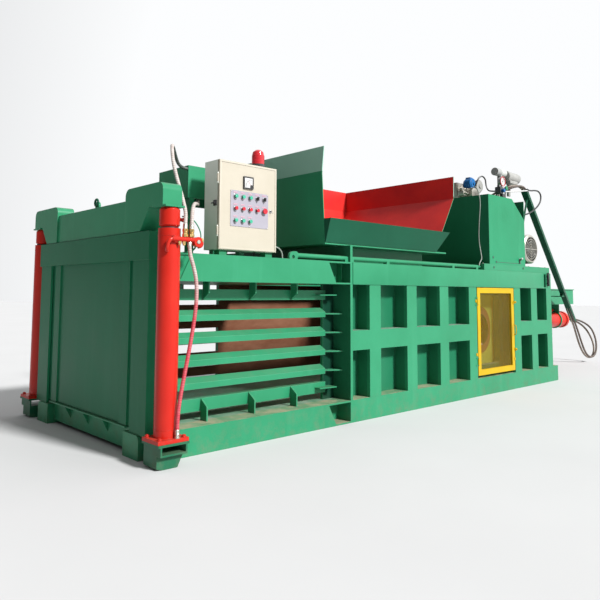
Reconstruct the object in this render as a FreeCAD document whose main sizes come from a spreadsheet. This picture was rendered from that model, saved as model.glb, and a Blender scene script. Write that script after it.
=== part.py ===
import FreeCAD, Part
import math
import os

import Sketcher

# Horizontal recycling baler with a hydraulic lifting door at one end.
# Millimetres, +Z up.  The origin lies on the floor, on the centre line, under the bulkhead's face
# towards the door.  +X runs from the door to the main cylinder and -Y is the near side, which carries
# the control cabinet.  The X sizes below are measured from the front of the door portal, and
# every placement takes dim.bulkhead_x off them.

doc = FreeCAD.newDocument("recycling_baler")
sheet = doc.addObject("Spreadsheet::Sheet", "dim")

# Driving dimensions, one cell each.
SIZES = {
    # overall frame
    "body_width": 2000, "side_height": 1400, "base_height": 192, "rail_depth": 198,
    "wall_depth": 165, "wall_inset": 235, "web": 12, "flange": 14,
    "base_start": 150, "base_end": 6130, "bulkhead_x": 2000, "bulkhead_thick": 30,
    "bulkhead_rise": 150, "floor_thick": 20, "roof_thick": 20, "rib_thick": 16,
    "cross_first": 420, "cross_pitch": 760, "cross_width": 90, "cross_count": 8,
    "fit": 0.3,
    # bale chamber side
    "beam_web_start": 224, "beam_web_end": 1820, "beam_web_slant": 100,
    "bar_inset": 175, "bar_face": 45, "bar_rise": 36, "bar_first": 417,
    "bar_count": 4, "bar_end": 1862, "strip_low": 258, "strip_low_height": 91,
    "strip_drop": 137, "strip_high_height": 83, "end_wall_inset": 205,
    "gusset_first": 538, "gusset_pitch": 450, "gusset_count": 3, "gusset_inset": 98,
    "gusset_thick": 12, "gusset_edge": 55,
    # press section side
    "mid_rail_low": 620, "mid_rail_height": 174, "post_width": 160, "post_first": 2264,
    "post_pitch": 565, "post_count": 4, "rear_post_x": 4978, "rear_post_pitch": 440,
    "end_post_x": 5848, "end_post_width": 142, "top_rail_end": 5800, "top_rail_slant": 120,
    "window_x": 4205, "window_width": 690, "window_low": 300, "window_height": 820,
    "window_corner": 60,
    # hopper
    "feed_x": 2060, "feed_length": 1340, "feed_far": 480, "neck_thick": 12,
    "hopper_flange": 16, "hopper_flange_x": 1731, "hopper_flange_length": 1877,
    "hopper_near_inset": 56, "hopper_sheet": 8, "hopper_base_end": 3420,
    "hopper_fold_x": 1692, "hopper_fold_end": 3783, "hopper_fold_far": 645,
    "hopper_fold_height": 604, "hopper_top_x": 1717, "hopper_top_end": 3791,
    "hopper_top_height": 849, "hopper_flange_lip": 80,
    "flap_height": 209, "flap_lean": 63, "flap_top_end": 3583,
    # door portal, door and crossbeam
    "column_front": 12, "column_inset": 52, "column_width": 218, "foot_height": 165,
    "groove_depth": 70, "groove_front": 32, "groove_width": 48, "header_drop": 56,
    "header_height": 196, "header_inset": 40, "header_thick": 12,
    "foot_inset": 119, "foot_width": 213, "foot_corner": 40, "sill_low": 28, "sill_web_x": 60,
    "sill_flange": 9, "sill_gusset": 90, "sill_gusset_pitch": 330, "sill_gusset_count": 3,
    "door_front": 36, "door_thick": 40, "door_low": 196, "door_edge_inset": 212,
    "door_strip_inset": 337, "door_strip_width": 108, "door_strip_thick": 12,
    "beam_gap": 5, "beam_height": 233, "beam_thick": 138, "beam_taper_inset": 170,
    "horn_rise": 156, "horn_height": 158, "horn_reach": 122, "horn_inner_inset": 390,
    "horn_corner": 55, "horn_plate": 12, "horn_notch_inset": 50, "horn_foot_outer": 160,
    "horn_foot_inner": 0, "eye_radius": 32, "eye_hole": 14, "eye_thick": 18, "eye_rise": 34,
    # lift cylinders
    "lift_x": 75, "lift_offset": 92, "lift_radius": 75, "lift_bore": 62.5, "lift_rod": 35,
    "lift_base": 165, "lift_flange_length": 230, "lift_flange_width": 200,
    "lift_flange_thick": 24, "lift_head_reach": 141, "lift_cap": 20, "lift_gland": 50,
    "lift_piston": 55, "lift_head": 69, "lift_head_gap": 9, "lift_head_shoulder": 15,
    "lift_bolt_radius": 9, "lift_bolt_inset": 24, "lift_bolt_height": 16,
    "bracket_reach": 208, "bracket_seat": 15, "pocket_low": 90, "pocket_wall": 12,
    "pocket_length": 200, "bracket_foot": 110, "bracket_slant": 45,
    # ram and main cylinder
    "ram_face_x": 3650, "ram_length": 2120, "ram_side_gap": 6, "ram_floor_gap": 4,
    "ram_face_thick": 50, "ram_skin": 20, "ram_hole_radius": 190, "ram_hole_first": 620,
    "ram_hole_pitch": 640, "ram_hole_count": 3,
    "axis_height": 700, "main_radius": 125, "main_bore": 110, "main_rod": 70,
    "main_start": 5800, "main_end": 8590, "main_gland": 90, "main_cap": 60,
    "main_flange": 190, "main_flange_thick": 45, "main_piston": 120, "main_pipe": 24,
    "main_pipe_start": 6200, "main_pipe_rise": 160,
    "rear_plate_x": 5990, "rear_plate_thick": 40, "rear_gusset": 180,
    "rail_beam_low": 966, "rail_beam_height": 245, "rail_beam_half": 300, "rail_beam_end": 8386,
    "saddle_x": 8290, "saddle_thick": 24, "saddle_radius": 142, "saddle_hanger": 95,
    # hose bridge over the bale chamber
    "bridge_x": 553, "bridge_length": 570, "bridge_near": 580, "bridge_width": 440,
    "bridge_rise": 468, "bridge_height": 259, "bridge_sheet": 8, "bridge_leg": 60,
    # control cabinet
    "cabinet_x": 608, "cabinet_width": 576, "cabinet_height": 684, "cabinet_depth": 190,
    "cabinet_inset": 80, "cabinet_lift": 48, "cabinet_sheet": 6, "cabinet_door": 22,
    "cabinet_lip": 24, "cabinet_gap": 1.5, "cabinet_foot": 70,
    "control_first_x": 760, "control_pitch_x": 72, "control_rise": 415, "control_pitch_z": 93,
    "panel_margin": 46, "panel_thick": 3, "bezel_radius": 19, "bezel_height": 8,
    "button_radius": 14, "button_stem": 9, "button_height": 9, "button_travel": 5,
    "stop_radius": 22, "stop_travel": 6, "knob_radius": 14, "knob_height": 18,
    "meter_x": 884, "meter_rise": 532, "meter_size": 96, "meter_height": 10,
    "lock_x": 1120, "lock_rise": 328, "lock_radius": 13,
    "hinge_radius": 7.5, "hinge_pin": 4, "hinge_gap": 6, "hinge_height": 60, "hinge_inset": 110,
    "hinge_leaf": 30,
    "beacon_x": 1065, "beacon_inset": 175, "beacon_radius": 58, "beacon_height": 124,
    "beacon_base": 34,
    # guide pipe along the near top edge
    "conduit_radius": 20, "conduit_height": 34, "conduit_inset": 42, "conduit_end": 4276,
    "conduit_start": 1350, "conduit_taper": 70, "clamp_width": 44, "lug_radius": 32,
    # power unit
    "skid_x": 4300, "skid_length": 1660, "skid_height": 74, "skid_width": 80,
    "hood_x": 4425, "hood_length": 870, "hood_depth": 1100, "hood_height": 816, "hood_sheet": 8,
    "hood_cut_length": 305, "hood_cut_height": 240, "tank_gap": 12, "tank_height": 566,
    "lid_thick": 12,
    "motor_x": 5556, "motor_rise": 231, "motor_radius": 165, "motor_near": 860,
    "motor_length": 470, "motor_fin": 18, "motor_fin_thick": 6, "motor_foot_width": 300,
    "motor_foot_thick": 20, "motor_fins": 20, "fan_cover_radius": 188, "fan_cover_length": 98,
    "fan_cover_sheet": 4, "fan_cover_rings": 4, "fan_cover_ring": 7, "fan_cover_mouth": 155,
    "fan_radius": 150, "fan_shaft": 19, "fan_hub": 34, "fan_blades": 7,
    "bell_radius": 120, "bell_length": 140, "pump_radius": 85, "pump_length": 200,
    "valve_x": 4480, "valve_y": 560, "valve_length": 260, "valve_width": 150,
    "valve_block_height": 270, "valve_height": 170, "coil_radius": 50, "coil_length": 150,
    "solenoid_radius": 27, "solenoid_length": 64, "valve_port_rise": 78, "valve_port_pitch": 75,
    "gauge_x": 5095, "gauge_y": 830, "gauge_rise": 492, "gauge_radius": 60, "gauge_depth": 36,
    "filter_x": 5230, "filter_y": 720, "filter_rise": 638, "filter_radius": 50,
    "filter_length": 250, "filter_post": 30,
    # hose tray from the power unit down to the main cylinder
    "tray_top_x": 5596, "tray_top_y": -860, "tray_top_rise": 1070, "tray_end_x": 8183,
    "tray_end_y": -370, "tray_end_drop": 21, "tray_width": 78, "tray_depth": 50, "tray_sheet": 5,
    "tray_arm_share": 0.74, "strut_share": 0.05, "strut_radius": 12,
    "strut_rise": 556,
    # inspection door
    "hatch_x": 4133, "hatch_width": 836, "hatch_low": 222, "hatch_height": 974,
    "hatch_thick": 30, "hatch_border": 62, "hatch_mesh": 4, "hatch_pin": 5, "hatch_knuckle": 8,
    "hatch_knuckle_height": 70, "hatch_axis_gap": 7, "hatch_leaf": 6, "hatch_leaf_width": 40,
    "hatch_hinge_inset": 120, "hatch_latch": 26,
    # hoses
    "hose_radius": 13, "main_hose_radius": 15,
    "manifold_radius": 16, "manifold_drop": 74, "manifold_end": 266, "manifold_start": 40,
    "fitting_radius": 14, "fitting_height": 74, "fitting_x": 140, "fitting_pitch": 50,
}

# Sizes that follow from what a thing stands on or reaches to.
FOLLOWING = {
    "strip_high": "side_height - rail_depth - strip_drop",
    "bar_pitch": "(strip_high + web - bar_first) / bar_count",
    "header_low": "side_height - header_drop",
    "beam_low": "header_low + header_height + beam_gap",
    "beam_top": "beam_low + beam_height",
    "horn_low": "beam_low + horn_rise",
    "horn_top": "horn_low + horn_height",
    "lift_foot": "lift_base + lift_flange_thick",
    "lift_barrel_length": "horn_low - horn_plate - lift_head_reach - lift_foot",
    "manifold_z": "lift_foot + lift_barrel_length - manifold_drop",
    "bridge_low": "side_height + bridge_rise",
    "cabinet_low": "side_height + cabinet_lift",
    "control_top_z": "cabinet_low + control_rise",
    "meter_z": "cabinet_low + meter_rise",
    "lock_z": "cabinet_low + lock_rise",
    "deck_top": "side_height + skid_height",
    "lid_top": "deck_top + tank_height + lid_thick",
    "motor_z": "deck_top + motor_rise",
    "gauge_z": "lid_top + gauge_rise",
    "filter_z": "lid_top + filter_rise",
    "strut_z": "deck_top + strut_rise",
    "tray_top_z": "side_height + tray_top_rise",
    "tray_end_z": "axis_height - tray_end_drop",
}

for row, (alias, value) in enumerate([*SIZES.items(), *FOLLOWING.items()], start=1):
    sheet.set("A%d" % row, alias)
    sheet.set("B%d" % row, "=%s" % value)
    sheet.setAlias("B%d" % row, alias)
doc.recompute()


def size(alias):
    """The value of one driving dimension, for the few shapes that are computed point by point."""
    return float(sheet.get(alias))


HALF = "dim.body_width / 2"
ROOF_LOW = "(dim.side_height - dim.rail_depth)"
DECK = "(dim.side_height + dim.bulkhead_rise + dim.hopper_flange)"
UP = FreeCAD.Vector(0, 0, 1)
TURN = {"X": FreeCAD.Rotation(FreeCAD.Vector(0, 1, 0), 90),
        "Y": FreeCAD.Rotation(FreeCAD.Vector(1, 0, 0), -90),
        "Z": FreeCAD.Rotation()}
PLANE_ROLE = {"XY": "XY_Plane", "XZ": "XZ_Plane", "YZ": "YZ_Plane"}
SIDES = ("near", "far")
later = []
nodes = []


def bind(thing, **settings):
    for name, formula in settings.items():
        thing.setExpression(name.replace("__", "."), formula)


def place(thing, x, y, z):
    """Puts a thing at x from the front of the door portal, y and z."""
    for axis, formula in zip("xyz", ("(%s) - dim.bulkhead_x" % x, y, z)):
        thing.setExpression("Placement.Base." + axis, formula)


def wall_y(side, inset):
    """The Y of a plane that lies inset from the outer face of one side."""
    if side == "near":
        return "(-%s + (%s))" % (HALF, inset)
    return "(%s - (%s))" % (HALF, inset)


def layer(side, outer, inner):
    """Start and length along Y of a slab between two insets from one side's outer face."""
    start = wall_y(side, outer if side == "near" else inner)
    return start, "(%s) - (%s)" % (inner, outer)


class Piece:
    """One sub-part: solids that are joined, and tools that are cut from them."""

    def __init__(self, node):
        self.node = node
        self.solids = []
        self.tools = []
        self.count = 0

    def fresh(self, role):
        self.count += 1
        return "%s_%s_%d" % (self.node, role, self.count)

    def keep(self, thing, hole):
        (self.tools if hole else self.solids).append(thing)
        return thing

    def box(self, x, y, z, hole=False):
        block = doc.addObject("Part::Box", self.fresh("block"))
        bind(block, Length=x[1], Width=y[1], Height=z[1])
        place(block, x[0], y[0], z[0])
        return self.keep(block, hole)

    def rod(self, axis, at, radius, length, hole=False):
        round_bar = doc.addObject("Part::Cylinder", self.fresh("round"))
        round_bar.Placement = FreeCAD.Placement(FreeCAD.Vector(), TURN[axis])
        bind(round_bar, Radius=radius, Height=length)
        place(round_bar, *at)
        return self.keep(round_bar, hole)

    def blade(self, at, turn, reach, length, thickness):
        """A flat rib that stands out from an axis along Y, turned about it by an angle."""
        rib = doc.addObject("Part::Box", self.fresh("blade"))
        spin = FreeCAD.Rotation(FreeCAD.Vector(0, 1, 0), turn)
        rib.Placement = FreeCAD.Placement(FreeCAD.Vector(), spin)
        bind(rib, Length=reach, Width=length, Height=thickness)
        place(rib, *at)
        return self.keep(rib, False)

    def sketch(self, body, plane, points):
        outline = body.newObject("Sketcher::SketchObject", self.fresh("sketch"))
        support = [item for item in body.Origin.OriginFeatures if item.Role == PLANE_ROLE[plane]]
        outline.AttachmentSupport = [(support[0], "")]
        outline.MapMode = "FlatFace"
        total = len(points)
        guess = [FreeCAD.Vector(*[outline.evalExpression(term) for term in point], 0)
                 for point in points]
        for i in range(total):
            outline.addGeometry(Part.LineSegment(guess[i], guess[(i + 1) % total]), False)
        for i in range(total):
            outline.addConstraint(Sketcher.Constraint("Coincident", i, 2, (i + 1) % total, 1))
        for i, point in enumerate(points):
            for kind, value, term in (("DistanceX", guess[i].x, point[0]),
                                      ("DistanceY", guess[i].y, point[1])):
                index = outline.addConstraint(Sketcher.Constraint(kind, -1, 1, i, 1, value))
                outline.setExpression("Constraints[%d]" % index, term)
        return outline

    def plate(self, plane, points, start, thickness, hole=False, corner=None):
        """A plate with a straight-sided outline.  start is its low side along the plane's normal.
        corner is (radius, test), which rounds the edges across the plate whose middle passes."""
        body = doc.addObject("PartDesign::Body", self.fresh("plate"))
        pad = body.newObject("PartDesign::Pad", self.fresh("pad"))
        pad.Profile = self.sketch(body, plane, points)
        bind(pad, Length=thickness)
        base = {"XY": ("0", "0", start), "YZ": (start, "0", "0"),
                "XZ": ("0", "(%s) + (%s)" % (start, thickness), "0")}[plane]
        place(body, *base)
        body.Tip = pad
        if corner:
            later.append((self, body, pad, plane, corner))
        return self.keep(body, hole)

    def turned(self, profile, at, axis="Z", hole=False):
        """A turned form: profile is a list of (radius, height) points about the axis."""
        body = doc.addObject("PartDesign::Body", self.fresh("turned"))
        turn = body.newObject("PartDesign::Revolution", self.fresh("turn"))
        outline = self.sketch(body, "XZ", profile)
        turn.Profile = outline
        turn.ReferenceAxis = (outline, ["V_Axis"])
        turn.Angle = 360
        body.Tip = turn
        body.Placement = FreeCAD.Placement(FreeCAD.Vector(), TURN[axis])
        place(body, *at)
        return self.keep(body, hole)

    def finish(self):
        result = self.solids[0]
        if len(self.solids) > 1:
            result = doc.addObject("Part::MultiFuse", self.fresh("joined"))
            result.Shapes = self.solids
            result.Refine = True
        if self.tools:
            tool = self.tools[0]
            if len(self.tools) > 1:
                tool = doc.addObject("Part::MultiFuse", self.fresh("tools"))
                tool.Shapes = self.tools
            cut = doc.addObject("Part::Cut", self.fresh("cut"))
            cut.Base = result
            cut.Tool = tool
            result = cut
        result.Label = self.node
        nodes.append(result)
        return result


def round_corners():
    """Rounds the plates' marked corners once their pads have a shape."""
    for piece, body, pad, plane, (radius, passes) in later:
        normal = {"XY": 2, "XZ": 1, "YZ": 0}[plane]
        picked = []
        for number, edge in enumerate(pad.Shape.Edges, start=1):
            middle = body.Placement.multVec(edge.CenterOfMass)
            run = edge.Vertexes[-1].Point - edge.Vertexes[0].Point
            along = abs(run[normal]) > 0.999 * run.Length
            if along and passes(middle):
                picked.append("Edge%d" % number)
        fillet = body.newObject("PartDesign::Fillet", piece.fresh("fillet"))
        fillet.Base = (pad, picked)
        bind(fillet, Radius=radius)
        body.Tip = fillet


# ---------------------------------------------------------------- base and floor

def base_beam(side):
    beam = Piece("base_beam_" + side)
    run = ("dim.base_start", "dim.base_end - dim.base_start")
    depth = layer(side, "0", "dim.wall_depth")
    beam.box(run, depth, ("0", "dim.flange"))
    beam.box(run, depth, ("dim.base_height - dim.flange", "dim.flange"))
    beam.box(run, layer(side, "dim.wall_depth - dim.web", "dim.wall_depth"),
             ("0", "dim.base_height"))
    skin = layer(side, "0", "dim.web")
    front_web = [("dim.base_start", "0"), ("dim.beam_web_end", "0"),
                 ("dim.beam_web_end - dim.beam_web_slant", "dim.base_height"),
                 ("dim.base_start", "dim.base_height")]
    beam.plate("XZ", front_web, *skin)
    beam.box(("dim.bulkhead_x", "dim.base_end - dim.bulkhead_x"), skin, ("0", "dim.base_height"))
    beam.box(("dim.bulkhead_x", "dim.bulkhead_thick"), depth, ("0", "dim.base_height"))
    for x in ("dim.base_start", "dim.base_end - dim.web"):
        beam.box((x, "dim.web"), depth, ("0", "dim.base_height"))
    beam.finish()


def chamber_floor():
    """The floor plate on its row of cross members, between the two base beams."""
    floor = Piece("chamber_floor")
    width = ("-(%s) + dim.wall_depth" % HALF, "dim.body_width - 2 * dim.wall_depth")
    floor.box(("dim.base_start", "dim.rear_plate_x - dim.base_start"), width,
              ("dim.base_height - dim.floor_thick", "dim.floor_thick"))
    for i in range(int(size("cross_count"))):
        floor.box(("dim.cross_first + %d * dim.cross_pitch" % i, "dim.cross_width"), width,
                  ("0", "dim.base_height - dim.floor_thick"))
    floor.finish()


# ---------------------------------------------------------------- bale chamber

def chamber_beam(side):
    """The top box beam beside the bale chamber, with slanting ends to its outer web."""
    beam = Piece("chamber_beam_" + side)
    run = ("dim.base_start", "dim.bulkhead_x - dim.base_start")
    depth = layer(side, "0", "dim.wall_depth")
    beam.box(run, depth, (ROOF_LOW, "dim.flange"))
    beam.box(run, depth, ("dim.side_height - dim.flange", "dim.flange"))
    beam.box(run, layer(side, "dim.wall_depth - dim.web", "dim.wall_depth"),
             (ROOF_LOW, "dim.rail_depth"))
    web = [("dim.beam_web_start", ROOF_LOW), ("dim.beam_web_end", ROOF_LOW),
           ("dim.beam_web_end - dim.beam_web_slant", "dim.side_height"),
           ("dim.beam_web_start + dim.beam_web_slant", "dim.side_height")]
    beam.plate("XZ", web, *layer(side, "0", "dim.web"))
    beam.box(("dim.bulkhead_x - dim.web", "dim.web"),
             layer(side, "dim.gusset_inset", "dim.wall_depth"), (ROOF_LOW, "dim.rail_depth"))
    beam.finish()


def tie_grille(side):
    """The slotted chamber side: sloping-topped bars that leave slots for the baling wires."""
    grille = Piece("tie_grille_" + side)
    outer = wall_y(side, "dim.bar_inset")
    inner = wall_y(side, "dim.wall_inset")
    tip = wall_y(side, "dim.gusset_inset")
    run = ("dim.base_start", "dim.bar_end - dim.base_start")
    body = doc.addObject("PartDesign::Body", grille.fresh("bars"))
    body.AllowCompound = True
    profile = grille.sketch(body, "YZ", [
        (outer, "dim.bar_first"), (outer, "dim.bar_first + dim.bar_face"),
        (inner, "dim.bar_first + dim.bar_face + dim.bar_rise"), (inner, "dim.bar_first")])
    pad = body.newObject("PartDesign::Pad", grille.fresh("pad"))
    pad.Profile = profile
    bind(pad, Length=run[1])
    place(body, run[0], "0", "0")
    doc.recompute()
    row = body.newObject("PartDesign::LinearPattern", grille.fresh("row"))
    row.Originals = [pad]
    row.Direction = (profile, ["V_Axis"])
    bind(row, Length="(dim.bar_count - 1) * dim.bar_pitch", Occurrences="dim.bar_count")
    body.Tip = row
    grille.keep(body, False)
    depth = layer(side, "dim.bar_inset", "dim.wall_inset")
    grille.box(run, depth, ("dim.strip_low", "dim.strip_low_height"))
    grille.box(run, depth, ("dim.strip_high", "dim.strip_high_height"))
    open_height = ("dim.base_height", "%s - dim.base_height" % ROOF_LOW)
    grille.box(("dim.base_start", "dim.bulkhead_thick"), depth, open_height)
    grille.box(("dim.bar_end", "dim.bulkhead_x - dim.bar_end"),
               layer(side, "dim.end_wall_inset", "dim.wall_inset"), open_height)
    strip_top = "dim.strip_low + dim.strip_low_height"
    low = [(outer, "dim.base_height"), (tip, "dim.base_height"),
           (tip, "%s - dim.gusset_edge" % strip_top), (outer, strip_top)]
    high = [(outer, ROOF_LOW), (tip, ROOF_LOW),
            (tip, "dim.strip_high + dim.gusset_edge"), (outer, "dim.strip_high")]
    for i in range(int(size("gusset_count"))):
        x = "dim.gusset_first + %d * dim.gusset_pitch" % i
        grille.plate("YZ", low, x, "dim.gusset_thick")
        grille.plate("YZ", high, x, "dim.gusset_thick")
    end_back = wall_y(side, "dim.end_wall_inset")
    for i in range(int(size("bar_count"))):
        wing = [("dim.bar_end", outer), ("dim.bulkhead_x", tip), ("dim.bulkhead_x", end_back),
                ("dim.bar_end", end_back)]
        grille.plate("XY", wing, "dim.bar_first + %d * dim.bar_pitch + dim.bar_face / 2" % i,
                     "dim.gusset_thick")
    grille.finish()


def bulkhead():
    """The ring plate between the bale chamber and the press section."""
    ring = Piece("bulkhead")
    thick = ("dim.bulkhead_x", "dim.bulkhead_thick")
    ring.box(thick, ("-(%s)" % HALF, "dim.body_width"),
             ("dim.base_height", "dim.side_height + dim.bulkhead_rise - dim.base_height"))
    ring.box(thick, ("-(%s) + dim.wall_inset" % HALF, "dim.body_width - 2 * dim.wall_inset"),
             ("dim.base_height", "%s - dim.base_height" % ROOF_LOW), hole=True)
    ring.box(thick, ("-(%s) + dim.wall_depth" % HALF, "dim.body_width - 2 * dim.wall_depth"),
             (ROOF_LOW, "dim.roof_thick"), hole=True)
    ring.rod("X", ("dim.bulkhead_x - dim.web", "(-(%s) + dim.conduit_inset)" % HALF,
                   "(dim.side_height + dim.conduit_height)"),
             "dim.conduit_radius + dim.fit", "dim.bulkhead_thick + 2 * dim.web", hole=True)
    ring.finish()


def roof():
    """The roof plate over the whole box, with the feed opening and its cross ribs."""
    plate = Piece("roof_plate")
    width = ("-(%s) + dim.wall_depth" % HALF, "dim.body_width - 2 * dim.wall_depth")
    height = (ROOF_LOW, "dim.roof_thick")
    plate.box(("dim.base_start", "dim.rear_plate_x - dim.base_start"), width, height)
    plate.box(("dim.feed_x", "dim.feed_length"),
              ("-(%s) + dim.wall_inset" % HALF, "dim.feed_far + %s - dim.wall_inset" % HALF),
              height, hole=True)
    rib_low = "%s + dim.roof_thick" % ROOF_LOW
    rib_height = "dim.rail_depth - dim.roof_thick - dim.flange"
    for x in ("dim.bridge_x", "dim.bridge_x + dim.bridge_length - dim.bridge_leg",
              "dim.hopper_flange_x - dim.hopper_flange_lip",
              "dim.skid_x", "dim.hood_x + dim.hood_length", "dim.end_post_x"):
        plate.box((x, "dim.rib_thick"), width, (rib_low, rib_height))
    plate.finish()


# ---------------------------------------------------------------- press section

HATCH_AXIS = ("(dim.hatch_x - dim.hatch_axis_gap)", "(-(%s) - dim.hatch_leaf)" % HALF)
HATCH_LOWS = ("(dim.hatch_low + dim.hatch_hinge_inset)",
              "(dim.hatch_low + dim.hatch_height - dim.hatch_hinge_inset"
              " - dim.hatch_knuckle_height)")


def press_side(side):
    """One ribbed side of the press section.  The near one has the inspection window."""
    wall = Piece("press_side_" + side)
    start = "dim.bulkhead_x + dim.bulkhead_thick"
    stop = "dim.rear_plate_x"
    rise = ("dim.base_height", "%s - dim.base_height" % ROOF_LOW)
    depth = layer(side, "0", "dim.wall_depth")
    wall.box((start, "%s - (%s)" % (stop, start)),
             layer(side, "dim.wall_depth - dim.web", "dim.wall_inset"), rise)
    posts = ["dim.post_first + %d * dim.post_pitch" % i for i in range(int(size("post_count")))]
    posts += ["dim.rear_post_x", "dim.rear_post_x + dim.rear_post_pitch"]
    if side == "far":
        posts.append("(dim.window_x + dim.window_width / 2 - dim.post_width / 2)")
    for x in posts:
        wall.box((x, "dim.post_width"), depth, rise)
    wall.box(("dim.end_post_x", "dim.end_post_width"), depth,
             ("dim.base_height", "dim.side_height - dim.base_height"))
    mid = ("dim.mid_rail_low", "dim.mid_rail_height")
    last_post = posts[int(size("post_count")) - 1]
    if side == "near":
        wall.box((start, "%s - (%s)" % (last_post, start)), depth, mid)
        wall.box(("dim.rear_post_x", "dim.end_post_x - dim.rear_post_x"), depth, mid)
        opening = [("dim.window_x", "dim.window_low"),
                   ("dim.window_x + dim.window_width", "dim.window_low"),
                   ("dim.window_x + dim.window_width", "dim.window_low + dim.window_height"),
                   ("dim.window_x", "dim.window_low + dim.window_height")]
        wall.plate("XZ", opening, *layer(side, "dim.wall_depth - 2 * dim.web", "dim.wall_inset + dim.web"),
                   hole=True, corner=("dim.window_corner", lambda point: True))
        for low in HATCH_LOWS:
            end = "2 * dim.hatch_pin"
            wall.rod("Z", (*HATCH_AXIS, "%s - %s" % (low, end)), "dim.hatch_pin",
                     "dim.hatch_knuckle_height + 2 * %s" % end)
            for leaf_z in ("%s - %s" % (low, end),
                           "%s + dim.hatch_knuckle_height + dim.fit" % low):
                wall.box(("%s - dim.hatch_leaf_width" % HATCH_AXIS[0], "dim.hatch_leaf_width"),
                         (HATCH_AXIS[1], "dim.hatch_leaf"), (leaf_z, "%s - dim.fit" % end))
    else:
        wall.box((start, "dim.end_post_x - (%s)" % start), depth, mid)
    # top rail: flanges, inner web and an outer web with a slanting end
    rail = (start, "dim.end_post_x - (%s)" % start)
    wall.box(rail, depth, (ROOF_LOW, "dim.flange"))
    wall.box(rail, depth, ("dim.side_height - dim.flange", "dim.flange"))
    wall.box(rail, layer(side, "dim.wall_depth - dim.web", "dim.wall_depth"),
             (ROOF_LOW, "dim.rail_depth"))
    web = [(start, ROOF_LOW), ("dim.top_rail_end", ROOF_LOW),
           ("dim.top_rail_end - dim.top_rail_slant", "dim.side_height"),
           (start, "dim.side_height")]
    wall.plate("XZ", web, *layer(side, "0", "dim.web"))
    wall.finish()


def rear_frame():
    """The thick end plate that takes the main cylinder's thrust, with its gussets."""
    frame = Piece("rear_frame")
    width = ("-(%s) + dim.wall_depth" % HALF, "dim.body_width - 2 * dim.wall_depth")
    plate_x = ("dim.rear_plate_x", "dim.rear_plate_thick")
    frame.box(plate_x, width, ("0", "dim.side_height"))
    frame.rod("X", ("dim.rear_plate_x - dim.web", "0", "dim.axis_height"),
              "dim.main_radius + dim.fit", "dim.rear_plate_thick + 2 * dim.web", hole=True)
    back = "dim.rear_plate_x + dim.rear_plate_thick"
    wing = [(back, "dim.base_height"), ("%s + dim.rear_gusset" % back, "dim.base_height"),
            ("%s + dim.rear_gusset" % back, "dim.base_height + dim.rear_gusset"),
            (back, "%s" % ROOF_LOW)]
    for inset in ("dim.wall_depth + dim.rear_gusset", "dim.wall_depth + 2 * dim.rear_gusset"):
        for side in SIDES:
            frame.plate("XZ", wing, *layer(side, inset, "%s + dim.rib_thick" % inset))
    frame.box((back, "dim.rear_gusset"), width, ("dim.base_height - dim.flange", "dim.flange"))
    frame.finish()


def cylinder_beam():
    """The box rail that carries the tail of the main cylinder in a saddle."""
    rail = Piece("cylinder_beam")
    start = "dim.rear_plate_x + dim.rear_plate_thick"
    run = (start, "dim.rail_beam_end - (%s)" % start)
    top = "dim.rail_beam_low + dim.rail_beam_height"
    rail.box((start, "dim.rail_beam_end + dim.flange - (%s)" % start),
             ("-dim.rail_beam_half - dim.flange", "2 * (dim.rail_beam_half + dim.flange)"),
             ("%s - dim.flange" % top, "dim.flange"))
    for y in ("-dim.rail_beam_half", "dim.rail_beam_half - dim.web"):
        rail.box(run, (y, "dim.web"), ("dim.rail_beam_low", "dim.rail_beam_height - dim.flange"))
    for x in (start, "dim.rail_beam_end - dim.web"):
        rail.box((x, "dim.web"), ("-dim.rail_beam_half", "2 * dim.rail_beam_half"),
                 ("dim.rail_beam_low", "dim.rail_beam_height - dim.flange"))
    saddle = ("dim.saddle_x", "dim.saddle_thick")
    rail.rod("X", (saddle[0], "0", "dim.axis_height"), "dim.saddle_radius", saddle[1])
    rail.box(saddle, ("-dim.saddle_hanger", "2 * dim.saddle_hanger"),
             ("dim.axis_height", "%s - dim.flange - dim.axis_height" % top))
    rail.rod("X", ("dim.saddle_x - dim.web", "0", "dim.axis_height"),
             "dim.main_radius + dim.fit", "dim.saddle_thick + 2 * dim.web", hole=True)
    rail.finish()


def main_barrel():
    """The main cylinder: mounting flange, barrel, gland and end cap turned about one axis."""
    barrel = Piece("main_barrel")
    length = "(dim.main_end - dim.main_start)"
    flange = "(dim.rear_plate_x + dim.rear_plate_thick - dim.main_start)"
    profile = [("dim.main_rod + dim.fit", "0"), ("dim.main_radius", "0"),
               ("dim.main_radius", flange), ("dim.main_flange", flange),
               ("dim.main_flange", "%s + dim.main_flange_thick" % flange),
               ("dim.main_radius", "%s + dim.main_flange_thick" % flange),
               ("dim.main_radius", "%s - dim.main_cap" % length),
               ("dim.main_radius + dim.flange", "%s - dim.main_cap" % length),
               ("dim.main_radius + dim.flange", length), ("0", length),
               ("0", "%s - dim.main_cap" % length), ("dim.main_bore", "%s - dim.main_cap" % length),
               ("dim.main_bore", "dim.main_gland"), ("dim.main_rod + dim.fit", "dim.main_gland")]
    barrel.turned(profile, ("dim.main_start", "0", "dim.axis_height"), axis="X")
    pipe_z = "(dim.axis_height + dim.main_pipe_rise)"
    barrel.rod("X", ("dim.main_pipe_start", "0", pipe_z), "dim.main_pipe",
               "dim.saddle_x - dim.web - dim.main_pipe_start")
    for x in ("dim.main_pipe_start + dim.main_pipe", "dim.saddle_x - dim.web - 2 * dim.main_pipe"):
        barrel.rod("Z", (x, "0", "dim.axis_height + dim.main_bore + dim.flange / 2"),
                   "dim.main_pipe", "dim.main_pipe_rise - dim.main_bore - dim.flange / 2")
    barrel.finish()


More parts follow.
